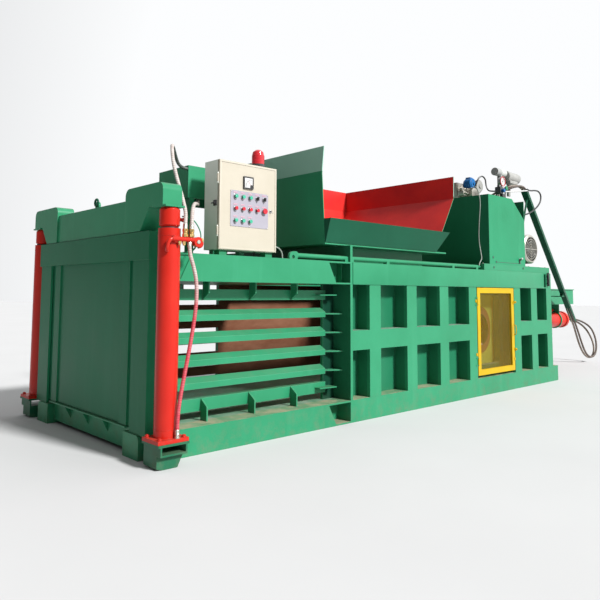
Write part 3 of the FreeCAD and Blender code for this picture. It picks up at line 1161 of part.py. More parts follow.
    valves = Piece("valve_stack")
    vx, vy = ("dim.valve_x", "dim.valve_length"), ("-dim.valve_y", "dim.valve_width")
    valves.box(vx, vy, ("dim.lid_top", "dim.valve_block_height"))
    valve_low = "dim.lid_top + dim.valve_block_height"
    for i in range(3):
        valves.box(("dim.valve_x + %d * dim.valve_length / 3 + dim.tank_gap" % i,
                    "dim.valve_length / 3 - dim.tank_gap * 3 / 2"),
                   ("-dim.valve_y + dim.tank_gap", "dim.valve_width - 2 * dim.tank_gap"),
                   (valve_low, "dim.valve_height"))
        valves.rod("Y", ("dim.valve_x + (%d + 1 / 2) * dim.valve_length / 3" % i,
                         "-dim.valve_y + dim.tank_gap - dim.solenoid_length",
                         "%s + dim.valve_height / 2" % valve_low),
                   "dim.solenoid_radius", "dim.solenoid_length + dim.tank_gap")
    coil_z = "%s + dim.valve_height * 3 / 4" % valve_low
    valves.rod("X", ("dim.valve_x + dim.valve_length - dim.tank_gap",
                     "-dim.valve_y + dim.valve_width / 2", coil_z), "dim.coil_radius",
               "dim.coil_length")
    valves.finish()

    gauge = Piece("pressure_gauge")
    gy = "-dim.gauge_y"
    gauge.rod("Y", ("dim.gauge_x", gy, "dim.gauge_z"), "dim.gauge_radius", "dim.gauge_depth")
    gauge.rod("Z", ("dim.gauge_x", "%s + dim.gauge_depth / 2" % gy, "dim.lid_top"), "dim.web",
              "dim.gauge_z - dim.lid_top")
    gauge.finish()

    filter_ = Piece("return_filter")
    fx, fy = "dim.filter_x", "-dim.filter_y"
    filter_.rod("Z", (fx, fy, "dim.lid_top"), "dim.filter_post", "dim.filter_z - dim.lid_top")
    filter_.rod("X", ("%s - dim.filter_length / 2" % fx, fy, "dim.filter_z"), "dim.filter_radius",
                "dim.filter_length")
    filter_.finish()


def free_form(node, shape):
    """A sub-part whose shape is computed; its X sizes are shifted to the bulkhead as place does."""
    feature = doc.addObject("Part::Feature", node + "_form")
    feature.Shape = shape
    feature.Placement = FreeCAD.Placement(FreeCAD.Vector(-size("bulkhead_x"), 0, 0),
                                          FreeCAD.Rotation())
    feature.Label = node
    nodes.append(feature)


def tray_frame():
    """The tray's line from the power unit to the tail of the main cylinder, as a placement."""
    top = FreeCAD.Vector(size("tray_top_x"), size("tray_top_y"), size("tray_top_z"))
    end = FreeCAD.Vector(size("tray_end_x"), size("tray_end_y"), size("tray_end_z"))
    along = end - top
    across = UP.cross(along).normalize()
    return top, along, across


def hose_tray():
    """The inclined trough in which the main hoses run; its line is set by its two ends."""
    top, along, across = tray_frame()
    half = size("tray_width") / 2
    sheet_ = size("tray_sheet")
    depth = size("tray_depth")
    up = along.cross(across).normalize()
    corners = [(-half, 0), (half, 0), (half, depth), (half - sheet_, depth), (half - sheet_, sheet_),
               (-half + sheet_, sheet_), (-half + sheet_, depth), (-half, depth)]
    points = [top + across * a + up * b for a, b in corners]
    face = Part.Face(Part.makePolygon(points + points[:1]))
    channel = face.extrude(along)
    hold = top + along * size("tray_arm_share")
    arm_z = size("rail_beam_low") + size("rail_beam_height") / 2
    edge = -size("rail_beam_half")
    arm = Part.makeBox(size("tray_width"), edge - hold.y + size("flange"), size("flange"),
                       FreeCAD.Vector(hold.x - half, hold.y - size("flange"), arm_z))
    post = Part.makeBox(size("flange"), size("tray_depth"), hold.z - arm_z - 2,
                        FreeCAD.Vector(hold.x - size("flange") / 2, hold.y - size("flange"), arm_z))
    guard_x = size("hood_x") + size("hood_length")
    foot = FreeCAD.Vector(guard_x, -size("body_width") / 2 + size("strut_radius"), size("strut_z"))
    head = top + along * size("strut_share") - up
    strut = Part.makeCylinder(size("strut_radius"), (head - foot).Length, foot, head - foot)
    behind = Part.makeBox(size("tray_width"), size("tray_width"), size("tray_width"),
                          foot - FreeCAD.Vector(size("tray_width"), half, half))
    free_form("hose_tray", channel.fuse([arm, post, strut.cut(behind)]).removeSplitter())


# ---------------------------------------------------------------- hoses

def smooth_path(points):
    """Straight runs joined by tangent arcs.  Returns the wire, its length and the arc radii."""
    edges, radii = [], []
    start = points[0]
    for before, corner, after in zip(points, points[1:], points[2:]):
        back, ahead = before - corner, after - corner
        half_turn = (math.pi - back.getAngle(ahead)) / 2
        trim = 0.45 * min(back.Length, ahead.Length)
        radius = trim / math.tan(half_turn)
        radii.append(radius)
        back.normalize()
        ahead.normalize()
        first, last = corner + back * trim, corner + ahead * trim
        bisector = (back + ahead).normalize()
        centre = corner + bisector * (radius / math.cos(half_turn))
        middle = centre - bisector * radius
        if (first - start).Length > 1e-6:
            edges.append(Part.LineSegment(start, first).toShape())
        edges.append(Part.Arc(first, middle, last).toShape())
        start = last
    edges.append(Part.LineSegment(start, points[-1]).toShape())
    wire = Part.Wire(edges)
    return wire, wire.Length, radii


def hose(points, radius):
    points = [FreeCAD.Vector(*point) for point in points]
    wire, length, radii = smooth_path(points)
    ring = Part.Wire(Part.makeCircle(radius, points[0], points[1] - points[0]))
    tube = wire.makePipeShell([ring], True, False)
    expected = math.pi * radius ** 2 * length
    print("hose length %.0f mm, least bend radius %.0f mm, volume ratio %.4f"
          % (length, min(radii), tube.Volume / expected))
    return tube


# Corners of the lift hoses: x, y and the rise above the manifold.
OVER_BRIDGE = [(147, -1174, 144), (161, -1152, 182), (174, -1118, 228), (177, -1068, 326),
               (178, -1012, 431), (183, -956, 538), (196, -913, 624), (222, -864, 692),
               (268, -792, 730), (330, -708, 738), (386, -640, 716), (430, -598, 678)]
UNDER_BRIDGE = [(198, -1174, 152), (217, -1148, 192), (254, -1100, 232), (315, -1020, 268),
                (400, -910, 296), (510, -770, 318), (612, -640, 334), (664, -560, 364),
                (684, -516, 438), (692, -494, 546)]
DOWN_TO_FOOT = [(206, -1186, -164), (235, -1187, -269), (240, -1186, -394), (224, -1184, -544),
                (194, -1183, -709), (160, -1182, -874), (128, -1183, -1024)]

# Corners of the two main hoses behind the tail ports: x and z from the port's face and axis.
TAIL_LOOPS = {
    -1: [(-238, -374, -180), (-188, -384, -288), (-150, -398, -395), (-104, -414, -496),
         (-38, -430, -576), (66, -448, -616), (178, -462, -588), (252, -466, -494),
         (274, -458, -368), (278, -432, -248), (286, -376, -134), (280, -284, -60),
         (232, -196, -12), (160, -122, 4), (76, -84, 0), (0, -84, 0)],
    1: [(-240, -332, -185), (-186, -338, -298), (-144, -350, -402), (-92, -368, -504),
        (-14, -388, -588), (98, -406, -628), (210, -418, -598), (282, -418, -502),
        (296, -398, -376), (292, -348, -250), (288, -280, -144), (268, -196, -66),
        (214, -118, -16), (144, -58, 2), (66, -28, 0), (0, -28, 0)],
}


def lift_hoses():
    """Two hoses from the manifold up to the hose bridge, and one down to the near barrel's foot."""
    side = -size("body_width") / 2 - size("lift_offset") - size("lift_radius")
    side -= size("manifold_radius") + size("fit")
    middle = size("manifold_z")
    high = middle + size("fitting_height")
    low = middle - size("manifold_radius")
    first = size("fitting_x")
    second = first + size("fitting_pitch")
    edge = size("bridge_x")
    near = -size("bridge_near")
    under_top = size("bridge_low") + size("bridge_height") - size("bridge_sheet")

    def rising(corners):
        return [(x, y, middle + rise) for x, y, rise in corners]

    over = [(first, side, high), (first, side, high + 36), *rising(OVER_BRIDGE),
            (edge - 98, near - 1, middle + 653), (edge - 68, near + 10, middle + 636),
            (edge - 34, near + 16, middle + 626), (edge, near + 16, middle + 626)]
    under = [(second, side, high), (second, side, high + 38), *rising(UNDER_BRIDGE),
             (692, -494, under_top)]
    down = [(second - 14, side, low), (second - 14, side, low - 70), *rising(DOWN_TO_FOOT),
            (109, side, middle - 1154), (109, side, size("lift_foot"))]
    tubes = [hose(route, size("hose_radius")) for route in (over, under, down)]
    free_form("lift_hoses", Part.makeCompound(tubes))


def main_hoses():
    """Two hoses from the valves over to the tray, down it, and round to the tail ports."""
    top, along, across = tray_frame()
    up = along.cross(across).normalize()
    bed = up * (size("tray_sheet") + size("main_hose_radius") + size("fit"))
    port_x = size("valve_x") + size("valve_length")
    port_y = -size("valve_y") + size("valve_width") / 2
    high = size("tray_top_z")
    tail_x = size("main_end")
    axis_z = size("axis_height")
    tubes = []
    for step, loop in TAIL_LOOPS.items():
        shift = across * (step * size("main_hose_radius") * 1.15)
        port_z = size("lid_top") + size("valve_port_rise") + (step + 1) / 2 * size("valve_port_pitch")
        route = [(port_x, port_y + step * 22, port_z), (port_x + 150, port_y + step * 22, port_z),
                 (port_x + 290, port_y - 30 + step * 20, port_z + 60),
                 (port_x + 430, port_y - 105 + step * 20, high - 120 + step * 10),
                 (port_x + 570, port_y - 215 + step * 20, high + step * 10),
                 (port_x + 705, port_y - 335 + step * 18, high + 68 + step * 6)]
        route += [tuple(top + along * share + shift * spread + bed + up * lift_off)
                  for share, spread, lift_off in ((-0.016, 1.12, 12), (0.035, 1, 0), (1.03, 1, 0))]
        route += [(tail_x + x, y, axis_z + rise) for x, y, rise in loop]
        tubes.append(hose(route, size("main_hose_radius")))
    free_form("main_hoses", Part.makeCompound(tubes))


def manifold():
    """The red port pipe on the near barrel's outboard side, with its brass fittings."""
    block = Piece("hose_manifold")
    axis_y = wall_y("near", "-dim.lift_offset")
    y = "(%s - dim.lift_radius - dim.manifold_radius - dim.fit)" % axis_y
    z = "dim.manifold_z"
    block.rod("X", ("dim.manifold_start", y, z), "dim.manifold_radius",
              "dim.manifold_end - dim.manifold_start")
    block.rod("Y", ("dim.lift_x", y, z), "dim.manifold_radius * 3 / 2",
              "dim.manifold_radius + dim.lift_radius / 2")
    for i in range(2):
        block.rod("Z", ("dim.fitting_x + %d * dim.fitting_pitch" % i, y, z), "dim.fitting_radius",
                  "dim.fitting_height")
    block.rod("Z", ("dim.lift_x", axis_y, "%s - 3 * dim.manifold_radius" % z),
              "dim.lift_radius + dim.fit / 3", "6 * dim.manifold_radius", hole=True)
    block.finish()


for which in SIDES:
    base_beam(which)
    chamber_beam(which)
    tie_grille(which)
    press_side(which)
    lift_cylinder(which)
chamber_floor()
bulkhead()
roof()
rear_frame()
cylinder_beam()
main_barrel()
ram()
hopper()
hopper_flap()
door_portal()
front_sill()
door_plate()
crossbeam()
hose_bridge()
cabinet()
cabinet_door()
controls()
conduit()
hatch()
power_unit()
hose_tray()
lift_hoses()
main_hoses()
manifold()

doc.recompute()
round_corners()
doc.recompute()

for thing in doc.Objects:
    if "Invalid" in thing.State or "Error" in thing.State:
        raise RuntimeError("%s did not build: %s" % (thing.Name, thing.State))
os.makedirs("parts", exist_ok=True)
for node in nodes:
    if node.Shape.isNull() or not node.Shape.isValid() or node.Shape.Volume <= 0:
        raise RuntimeError(node.Label + " has no valid solid")
    node.Shape.exportStep("parts/%s.step" % node.Label)
print(len(nodes), "sub-parts")
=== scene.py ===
import math
from functools import partialmethod

import bmesh
import bpy
from mathutils import Matrix, Vector

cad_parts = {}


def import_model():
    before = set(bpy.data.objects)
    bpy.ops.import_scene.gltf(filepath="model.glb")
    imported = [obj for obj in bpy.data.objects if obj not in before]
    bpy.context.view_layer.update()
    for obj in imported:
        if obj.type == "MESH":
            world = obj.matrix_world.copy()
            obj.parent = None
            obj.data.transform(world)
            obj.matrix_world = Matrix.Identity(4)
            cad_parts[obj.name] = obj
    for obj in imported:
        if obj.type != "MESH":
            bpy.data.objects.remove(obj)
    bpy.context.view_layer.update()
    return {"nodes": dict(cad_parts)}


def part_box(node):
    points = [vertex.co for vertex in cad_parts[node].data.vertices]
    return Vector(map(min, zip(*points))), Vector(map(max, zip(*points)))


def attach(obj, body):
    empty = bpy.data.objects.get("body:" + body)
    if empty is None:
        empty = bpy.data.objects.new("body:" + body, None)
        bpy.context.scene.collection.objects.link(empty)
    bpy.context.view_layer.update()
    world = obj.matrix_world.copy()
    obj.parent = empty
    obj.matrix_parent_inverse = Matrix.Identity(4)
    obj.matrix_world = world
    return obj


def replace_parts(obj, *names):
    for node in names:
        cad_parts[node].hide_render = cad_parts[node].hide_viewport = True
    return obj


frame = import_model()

# Recycling baler, dressed.  +X runs from the lifting door to the main cylinder, -Y is the near side with
# the control cabinet, +Z is up.  Looks, camera and light are in metres, in the frame of the CAD model.
# Worked pieces and routes are in millimetres, with X counted from the front of the door portal.

X, Y, Z = Vector((1, 0, 0)), Vector((0, 1, 0)), Vector((0, 0, 1))
ORIGIN = 2000
SIDES = (("near", -1), ("far", 1))

# rectangles on the cabinet's front: left, right, low, high
DOOR = (611, 1181, 1451, 2129)
PANEL = (713, 1095, 1630, 1910)
METER = (835, 933, 1931, 2029)
LOCK = (1106, 1134, 1762, 1790)
# the cabinet's front, and the panel and rim that stand proud of it
FRONT = -920
PROUD = FRONT - 3


def in_frame(x, y, z):
    """Millimetres from the front of the door portal, as metres in the model's frame."""
    return ((x - ORIGIN) / 1000, y / 1000, z / 1000)


def at(x, y, z):
    return Vector(in_frame(x, y, z))


def placed(name, data):
    """A new object in the scene."""
    made = bpy.data.objects.new(name, data)
    bpy.context.scene.collection.objects.link(made)
    return made


# ---------------------------------------------------------------- materials

class Wires:
    """Short ways to wire procedural detail into a node tree."""

    def __init__(self, tree):
        self.tree = tree

    def feed(self, socket, value):
        """Link a socket to the value or set it.  Colours are given without alpha."""
        if isinstance(value, bpy.types.NodeSocket):
            self.tree.links.new(value, socket)
        else:
            socket.default_value = (*value, 1.0) if socket.type == "RGBA" else value

    def node(self, kind, inputs=None, **settings):
        made = self.tree.nodes.new(kind)
        for key, value in settings.items():
            setattr(made, key, value)
        for key, value in (inputs or {}).items():
            self.feed(made.inputs[key], value)
        return made

    def reckon(self, operation, one, two=0.0):
        return self.node("ShaderNodeMath", {0: one, 1: two}, operation=operation).outputs[0]

    plus = partialmethod(reckon, "ADD")
    minus = partialmethod(reckon, "SUBTRACT")
    times = partialmethod(reckon, "MULTIPLY")
    over = partialmethod(reckon, "GREATER_THAN")
    under = partialmethod(reckon, "LESS_THAN")
    larger = partialmethod(reckon, "MAXIMUM")
    lesser = partialmethod(reckon, "MINIMUM")
    absolute = partialmethod(reckon, "ABSOLUTE")
    sign = partialmethod(reckon, "SIGN")
    root = partialmethod(reckon, "SQRT")
    folded = partialmethod(reckon, "PINGPONG")

    def part(self, vector, letter):
        return self.node("ShaderNodeSeparateXYZ", {0: vector}).outputs[letter]

    def band(self, value, low, high, from_=0.0, to=1.0):
        """value from low to high becomes from_ to to, and is held outside."""
        inputs = {"Value": value, "From Min": low, "From Max": high, "To Min": from_, "To Max": to}
        return self.node("ShaderNodeMapRange", inputs, clamp=True).outputs["Result"]

    def mix(self, share, one, two):
        return self.node("ShaderNodeMix", {0: share, 6: one, 7: two}, data_type="RGBA").outputs[2]


class Look(Wires):
    """A Principled material and the name of its slot."""

    def __init__(self, name, slot=None, rough=0.4, metal=0.0, coat=0.0, spec=0.5):
        self.slot = slot
        self.material = bpy.data.materials.new(name)
        self.material.use_nodes = True
        super().__init__(self.material.node_tree)
        self.shader = self.tree.nodes["Principled BSDF"]
        self.place = self.node("ShaderNodeTexCoord").outputs["Object"]
        self.facing = self.node("ShaderNodeNewGeometry").outputs["True Normal"]
        for key, value in (("Roughness", rough), ("Metallic", metal), ("Coat Weight", coat),
                           ("Specular IOR Level", spec)):
            self.set(key, value)

    def set(self, key, value):
        """Feed one of the shader's own inputs."""
        self.feed(self.shader.inputs[key], value)

    def along(self, letter):
        """Where a point lies along one axis, in metres."""
        return self.part(self.place, letter)

    def toward(self, letter):
        """How much the surface faces along one axis, -1 to 1."""
        return self.part(self.facing, letter)

    def noise(self, scale, detail=5.0, rough=0.55, stretch=(1, 1, 1)):
        vector = self.node("ShaderNodeMapping", {"Vector": self.place, "Scale": stretch}).outputs["Vector"]
        inputs = {"Vector": vector, "Scale": scale, "Detail": detail, "Roughness": rough}
        return self.node("ShaderNodeTexNoise", inputs).outputs["Fac"]

    def mottled(self, one, two, *noise, low=0.35, high=0.7):
        """Two colours in soft patches.  The noise is its scale, detail and roughness."""
        return self.mix(self.band(self.noise(*noise), low, high), one, two)

    def rounded(self, radius):
        """The surface's normal with its edges rounded."""
        return self.node("ShaderNodeBevel", {"Radius": radius}, samples=4).outputs["Normal"]

    def edges(self, radius):
        """1 along outer edges and corners, 0 on flat ground."""
        inputs = {0: self.rounded(radius), 1: self.facing}
        match = self.node("ShaderNodeVectorMath", inputs, operation="DOT_PRODUCT")
        return self.band(match.outputs["Value"], 0.97, 0.86)

    def relief(self, height, depth, strength=0.5, rounding=0.0):
        made = self.node("ShaderNodeBump", {"Distance": depth, "Strength": strength, "Height": height})
        if rounding:
            self.feed(made.inputs["Normal"], self.rounded(rounding))
        self.set("Normal", made.outputs["Normal"])


GREEN = (0.026, 0.245, 0.118)
GREEN_PALE = (0.05, 0.30, 0.16)
GREEN_DEEP = (0.019, 0.205, 0.094)
# what most of the machine's enamels begin with: slot, base, pale and deep
GREENS = ("green_paint", GREEN, GREEN_PALE, GREEN_DEEP)
# Pale green of painted highlights along edges.
GREEN_EDGE_HIGHLIGHT = (0.16, 0.42, 0.27)
GREEN_SHADE = (0.008, 0.050, 0.030)
DUST = (0.17, 0.145, 0.095)
BARE_METAL = (0.14, 0.12, 0.10)


def enamel(name, slot, base, pale, deep, rough=0.33, dust=0.35, chips=0.5, settled_dust=DUST,
           lining=None, door_shade=0.0, spec=0.28):
    """Brushed-on machine enamel: soft clouds of tone, faint runs, dust that settles, worn edges."""
    look = Look(name, slot, rough=rough, spec=spec)
    clouds = look.noise(1.3, 5.0, 0.6)
    runs = look.noise(9.0, 3.0, 0.5, stretch=(1, 1, 0.08))
    body = look.mix(look.band(clouds, 0.35, 0.68), deep, base)
    body = look.mix(look.band(runs, 0.55, 0.8, 0.0, 0.35), body, pale)
    if lining:
        body = lining(look, body)
    # Painted shade: faces turned toward the door end are darkened toward deep green.
    if door_shade:
        toward_door = look.band(look.toward("X"), -0.3, -0.8)
        body = look.mix(look.times(toward_door, door_shade), body, (0.006, 0.035, 0.020))
    lies_flat = look.band(look.toward("Z"), 0.6, 0.95)
    settled = look.times(lies_flat, look.band(look.noise(6.0, 6.0, 0.7), 0.3, 0.62))
    near_floor = look.band(look.along("Z"), 0.26, 0.02, 0.0, 0.4)
    splash = look.times(near_floor, look.band(look.noise(11.0, 7.0, 0.72), 0.46, 0.7))
    powder = look.times(settled, dust)
    dirt = look.larger(powder, splash)
    body = look.mix(splash, look.mix(powder, body, settled_dust), DUST)
    flake = look.times(look.edges(0.008), look.band(look.noise(24.0, 6.0, 0.7), 0.52, 0.64, 0.0, chips))
    look.set("Base Color", look.mix(flake, body, BARE_METAL))
    look.set("Roughness", look.larger(look.band(clouds, 0.3, 0.75, rough - 0.06, rough + 0.12),
                                      look.band(dirt, 0.0, 0.6, rough, 0.85)))
    look.relief(look.plus(look.noise(260.0, 2.0), look.times(look.noise(7.0, 3.0), 6.0)),
                depth=0.0004, rounding=0.003)
    return look


def metal(name, base, deep, rough=0.3, stain=0.3):
    """Bare metal with a fine grain and a few brown stains."""
    look = Look(name, "bare_steel", rough=rough, metal=1.0)
    grain = look.noise(90.0, 3.0, 0.6)
    body = look.mottled(base, deep, 7.0, 5.0, 0.6)
    stained = look.band(look.noise(19.0, 6.0, 0.75), 0.56, 0.75, 0.0, stain)
    look.set("Base Color", look.mix(stained, body, (0.13, 0.09, 0.06)))
    look.set("Roughness", look.band(grain, 0.3, 0.7, rough - 0.08, rough + 0.16))
    look.relief(grain, depth=0.0002, strength=0.6, rounding=0.0015)
    return look


def plain(name, slot, base, deep, rough=0.5, coat=0.0):
    """Moulded plastic, rubber or sheet with a little unevenness."""
    look = Look(name, slot, rough=rough, coat=coat)
    look.set("Base Color", look.mottled(base, deep, 14.0, 5.0, 0.6, low=0.3, high=0.72))
    look.set("Roughness", look.band(look.noise(22.0, 4.0), 0.3, 0.7, rough - 0.05, rough + 0.1))
    look.relief(look.noise(300.0, 2.0), depth=0.0002, rounding=0.001)
    return look


# linings: what changes a coat of enamel on some of a node's faces

def inside_rust(look, body):
    """Scoured, rusty steel on the faces that look into the chamber."""
    chamber_half = 0.84
    y = look.along("Y")
    outward = look.times(look.toward("Y"), look.sign(y))
    inward = look.times(look.under(outward, -0.5), look.under(look.absolute(y), chamber_half))
    patches = look.band(look.noise(5.0, 7.0, 0.7, stretch=(0.3, 1, 1)), 0.35, 0.65)
    return look.mix(inward, body, look.mix(patches, (0.145, 0.055, 0.030), (0.245, 0.115, 0.068)))


def press_lining(look, body):
    """The recesses between the ribs lie in shade; the inner faces are scoured."""
    rib_face = 0.965
    recessed = look.under(look.absolute(look.along("Y")), rib_face)
    return inside_rust(look, look.mix(look.times(recessed, 0.55), body, (0.010, 0.10, 0.05)))


def grille_lining(look, body):
    """The bars' edges get painted highlights; the end plates beside the bulkhead get painted shade."""
    upright = look.under(look.absolute(look.toward("Z")), 0.5)
    plate_start, plate_reach = -0.137, 0.797
    plate = look.under(look.absolute(look.along("Y")), plate_reach)
    ended = look.times(look.times(look.over(look.along("X"), plate_start), plate), upright)
    # Painted highlights along the bars' edges, painted shade on the end plates.
    edge_highlighted = look.mix(look.times(look.edges(0.006), 0.5), body, GREEN_EDGE_HIGHLIGHT)
    return inside_rust(look, look.mix(look.times(ended, 0.95), edge_highlighted, (0.004, 0.032, 0.019)))


def bulkhead_lining(look, body):
    """The bulkhead's face toward the door lies in the shade of the beams."""
    toward_door = look.under(look.toward("X"), -0.5)
    return inside_rust(look, look.mix(look.times(toward_door, 0.5), body, GREEN_SHADE))


def painted_edge_highlights(look, body):
    """Painted highlights along the edges."""
    return look.mix(look.times(look.edges(0.010), 0.8), body, GREEN_EDGE_HIGHLIGHT)


def hopper_lining(look, body):
    """The hopper's inner faces are red, and the outer ones are painted paler above its fold as painted light.
    """
    neck_height, fold_height = 0.37, 0.968
    low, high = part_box("hopper")
    middle = (low + high) / 2
    aside = [look.times(look.toward(letter), look.sign(look.minus(look.along(letter), centre)))
             for letter, centre in (("X", middle.x), ("Y", middle.y))]
    inward = look.under(look.lesser(*aside), -0.5)
    above = look.over(look.along("Z"), low.z + neck_height)
    red_coat = look.mottled((0.66, 0.030, 0.024), (0.52, 0.020, 0.022), 2.5, 5.0, 0.6)
    upper = look.over(look.along("Z"), low.z + fold_height)
    # Painted light: the outer faces above the fold are paler.
    painted_light_above_fold = look.mix(look.times(upper, 0.9), body, (0.30, 0.52, 0.42))
    return look.mix(look.times(inward, above), painted_light_above_fold, red_coat)


def feet_lining(look, body):
    """The cabinet's mounting feet are green like the machine."""
    case_bottom = 1.4455
    return look.mix(look.under(look.along("Z"), case_bottom), body, GREEN_DEEP)


def ram_lining(look, body):
    """Olive plate sides with brown tall windows painted as the shaded insides of slots, and rusty brown
    behind the last of them.
    """
    window_x, window_z, spacing = 2.60, 0.70, 0.32
    x, z = look.along("X"), look.along("Z")
    aside = look.folded(look.minus(x, window_x), spacing)
    above = look.larger(look.minus(look.absolute(look.minus(z, window_z)), 0.045), 0.0)
    reach = look.root(look.plus(look.times(aside, aside), look.times(above, above)))
    side = look.over(look.absolute(look.toward("Y")), 0.5)
    olive = look.mottled((0.42, 0.46, 0.080), (0.34, 0.38, 0.065), 4.0)
    behind = look.band(look.plus(x, look.band(look.noise(6.0), 0.2, 0.8, -0.03, 0.03)), 2.86, 2.92)
    plate = look.mix(behind, olive, (0.46, 0.29, 0.035))
    # Painted shade: the windows' brown stands for the dark inside of slots.
    slot_shade = look.mottled((0.26, 0.085, 0.04), (0.18, 0.06, 0.03), 9.0)
    return look.mix(side, body, look.mix(look.band(reach, 0.240, 0.228), plate, slot_shade))


green = enamel("enamel_green", *GREENS)
# The green with painted shade on its faces toward the door.
green_door_shaded = enamel("enamel_green_door_shaded", *GREENS, door_shade=0.42, spec=0.12)
green_shaded = enamel("enamel_green_shaded", "green_paint", (0.009, 0.085, 0.045), (0.014, 0.105, 0.057),
                      (0.007, 0.07, 0.036), dust=0.05, spec=0.12)
red = enamel("enamel_red", "red_paint", (0.56, 0.022, 0.010), (0.62, 0.045, 0.022), (0.46, 0.014, 0.007),
             rough=0.28, dust=0.2)
cream = enamel("enamel_cream", "cream_paint", (0.50, 0.46, 0.38), (0.53, 0.495, 0.42), (0.475, 0.435, 0.355),
               rough=0.45, dust=0.1, chips=0.2)
yellow = enamel("enamel_yellow", "yellow_paint", (0.52, 0.34, 0.003), (0.56, 0.38, 0.01), (0.46, 0.28, 0.003),
                rough=0.4, dust=0.1, spec=0.2)
blue = enamel("enamel_blue", "grey_paint", (0.006, 0.13, 0.36), (0.015, 0.20, 0.46), (0.004, 0.06, 0.20),
              rough=0.3)
zinc = metal("steel_zinc", (0.66, 0.64, 0.58), (0.50, 0.47, 0.40), rough=0.34, stain=0.2)
dark_steel = metal("steel_dark", (0.16, 0.16, 0.16), (0.09, 0.09, 0.09), rough=0.42)
chrome = metal("steel_chrome", (0.80, 0.80, 0.81), (0.70, 0.70, 0.71), rough=0.14, stain=0.05)
brass = metal("brass_fitting", (0.78, 0.55, 0.22), (0.60, 0.40, 0.16), rough=0.28)
black = plain("plastic_black", "knob_black", (0.018, 0.018, 0.019), (0.03, 0.03, 0.03), rough=0.4)
label_pink = plain("label_blank", "hose_wrap", (0.46, 0.30, 0.36), (0.42, 0.26, 0.32))
button_green = plain("button_green", None, (0.05, 0.42, 0.27), (0.03, 0.33, 0.20), rough=0.2, coat=0.4)
button_red = plain("button_red", "button_red", (0.52, 0.012, 0.03), (0.42, 0.01, 0.02), rough=0.2, coat=0.4)
cable_grey = plain("cable_grey", "grey_paint", (0.27, 0.31, 0.27), (0.22, 0.25, 0.22))
cover_grey = plain("cover_grey", "grey_paint", (0.36, 0.36, 0.34), (0.27, 0.27, 0.25), rough=0.4)
dial_white = plain("dial_white", "grey_paint", (0.56, 0.56, 0.55), (0.52, 0.52, 0.51), rough=0.35)


def wrapped(look, body, groove, depth):
    """Spiral guard wrap: ridges along the hose, with the groove's colour between them."""
    wave = look.node("ShaderNodeTexWave", {"Vector": look.place, "Scale": 20.0, "Distortion": 0.6},
                     wave_type="BANDS", bands_direction="Z", wave_profile="SIN")
    ridge = wave.outputs["Fac"]
    look.relief(ridge, depth=0.0015, strength=0.8)
    return look.mix(look.band(ridge, 0.0, 0.22, depth, 0.0), body, groove)


def hose_look(name, base, deep, mark, share, apex=None):
    """A wrapped hose smudged with another colour.  Beyond its apex, where one is given, it is darker."""
    look = Look(name, rough=0.55)
    body = look.mottled(base, deep, 18.0, high=0.65)
    body = look.mix(look.band(look.noise(26.0, 6.0, 0.7), 0.56, 0.66, 0.0, share), body, mark)
    shown = wrapped(look, body, (0.10, 0.08, 0.07), 0.45)
    if apex is not None:
        # Darker, greenish colour beyond the apex.
        dark_beyond_apex = look.mottled((0.06, 0.075, 0.065), (0.10, 0.11, 0.10), 24.0, high=0.65)
        shown = look.mix(look.band(look.along("Y"), apex - 0.02, apex + 0.02), shown, dark_beyond_apex)
    look.set("Base Color", shown)
    return look


def fading_look(name, height):
    """White wrap that is painted red below a height."""
    look = Look(name, rough=0.5)
    white = look.mottled((0.50, 0.43, 0.40), (0.42, 0.30, 0.28), 18.0, high=0.65)
    paint = look.mottled((0.50, 0.020, 0.045), (0.48, 0.09, 0.11), 20.0, 6.0, 0.7, high=0.65)
    level = look.plus(look.along("Z"), look.band(look.noise(14.0), 0.2, 0.8, -0.12, 0.12))
    body = look.mix(look.band(level, height + 0.13, height - 0.13), white, paint)
    look.set("Base Color", wrapped(look, body, (0.14, 0.05, 0.04), 0.4))
    return look


WHITE_WRAP = ((0.52, 0.47, 0.44), (0.42, 0.36, 0.33), (0.30, 0.08, 0.06), 0.3)
wrap_white = hose_look("hose_wrap_white", *WHITE_WRAP)
wrap_over = hose_look("hose_wrap_over", *WHITE_WRAP, apex=-0.76)
wrap_faded = fading_look("hose_wrap_faded", 1.10)
wrap_pale = hose_look("hose_wrap_pale", (0.34, 0.29, 0.24), (0.22, 0.17, 0.13), (0.10, 0.06, 0.045), 0.6)
wrap_dark = hose_look("hose_wrap_dark", (0.13, 0.10, 0.08), (0.08, 0.06, 0.05), (0.30, 0.22, 0.16), 0.5)


def screen_door_look():
    """Yellow angle frame round a fine amber screen."""
    look = Look("enamel_yellow_screen", rough=0.4, spec=0.2)
    x, z = look.along("X"), look.along("Z")
    hinge_reach, border, pitch = 0.015, 0.063, 0.009
    low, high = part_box("inspection_door")
    inner = look.over(x, low.x + hinge_reach + border)
    for within in (look.under(x, high.x - border), look.over(z, low.z + border),
                   look.under(z, high.z - border)):
        inner = look.times(inner, within)
    wire, clear = pitch * 0.05, pitch * 0.09
    holes = look.times(*(look.band(look.folded(place, pitch / 2), wire, clear) for place in (x, z)))
    paint = look.mottled((0.52, 0.34, 0.003), (0.46, 0.28, 0.003), 3.0)
    paint = look.mix(look.band(look.noise(30.0, 6.0, 0.7), 0.62, 0.72, 0.0, 0.5), paint, (0.30, 0.16, 0.03))
    amber = look.mottled((0.24, 0.15, 0.006), (0.19, 0.12, 0.010), 2.2, 4.0, low=0.3)
    look.set("Base Color", look.mix(inner, paint, amber))
    look.set("Alpha", look.minus(1.0, look.times(inner, look.times(holes, 0.95))))
    look.relief(look.noise(200.0, 2.0), depth=0.0003, rounding=0.002)
    return look


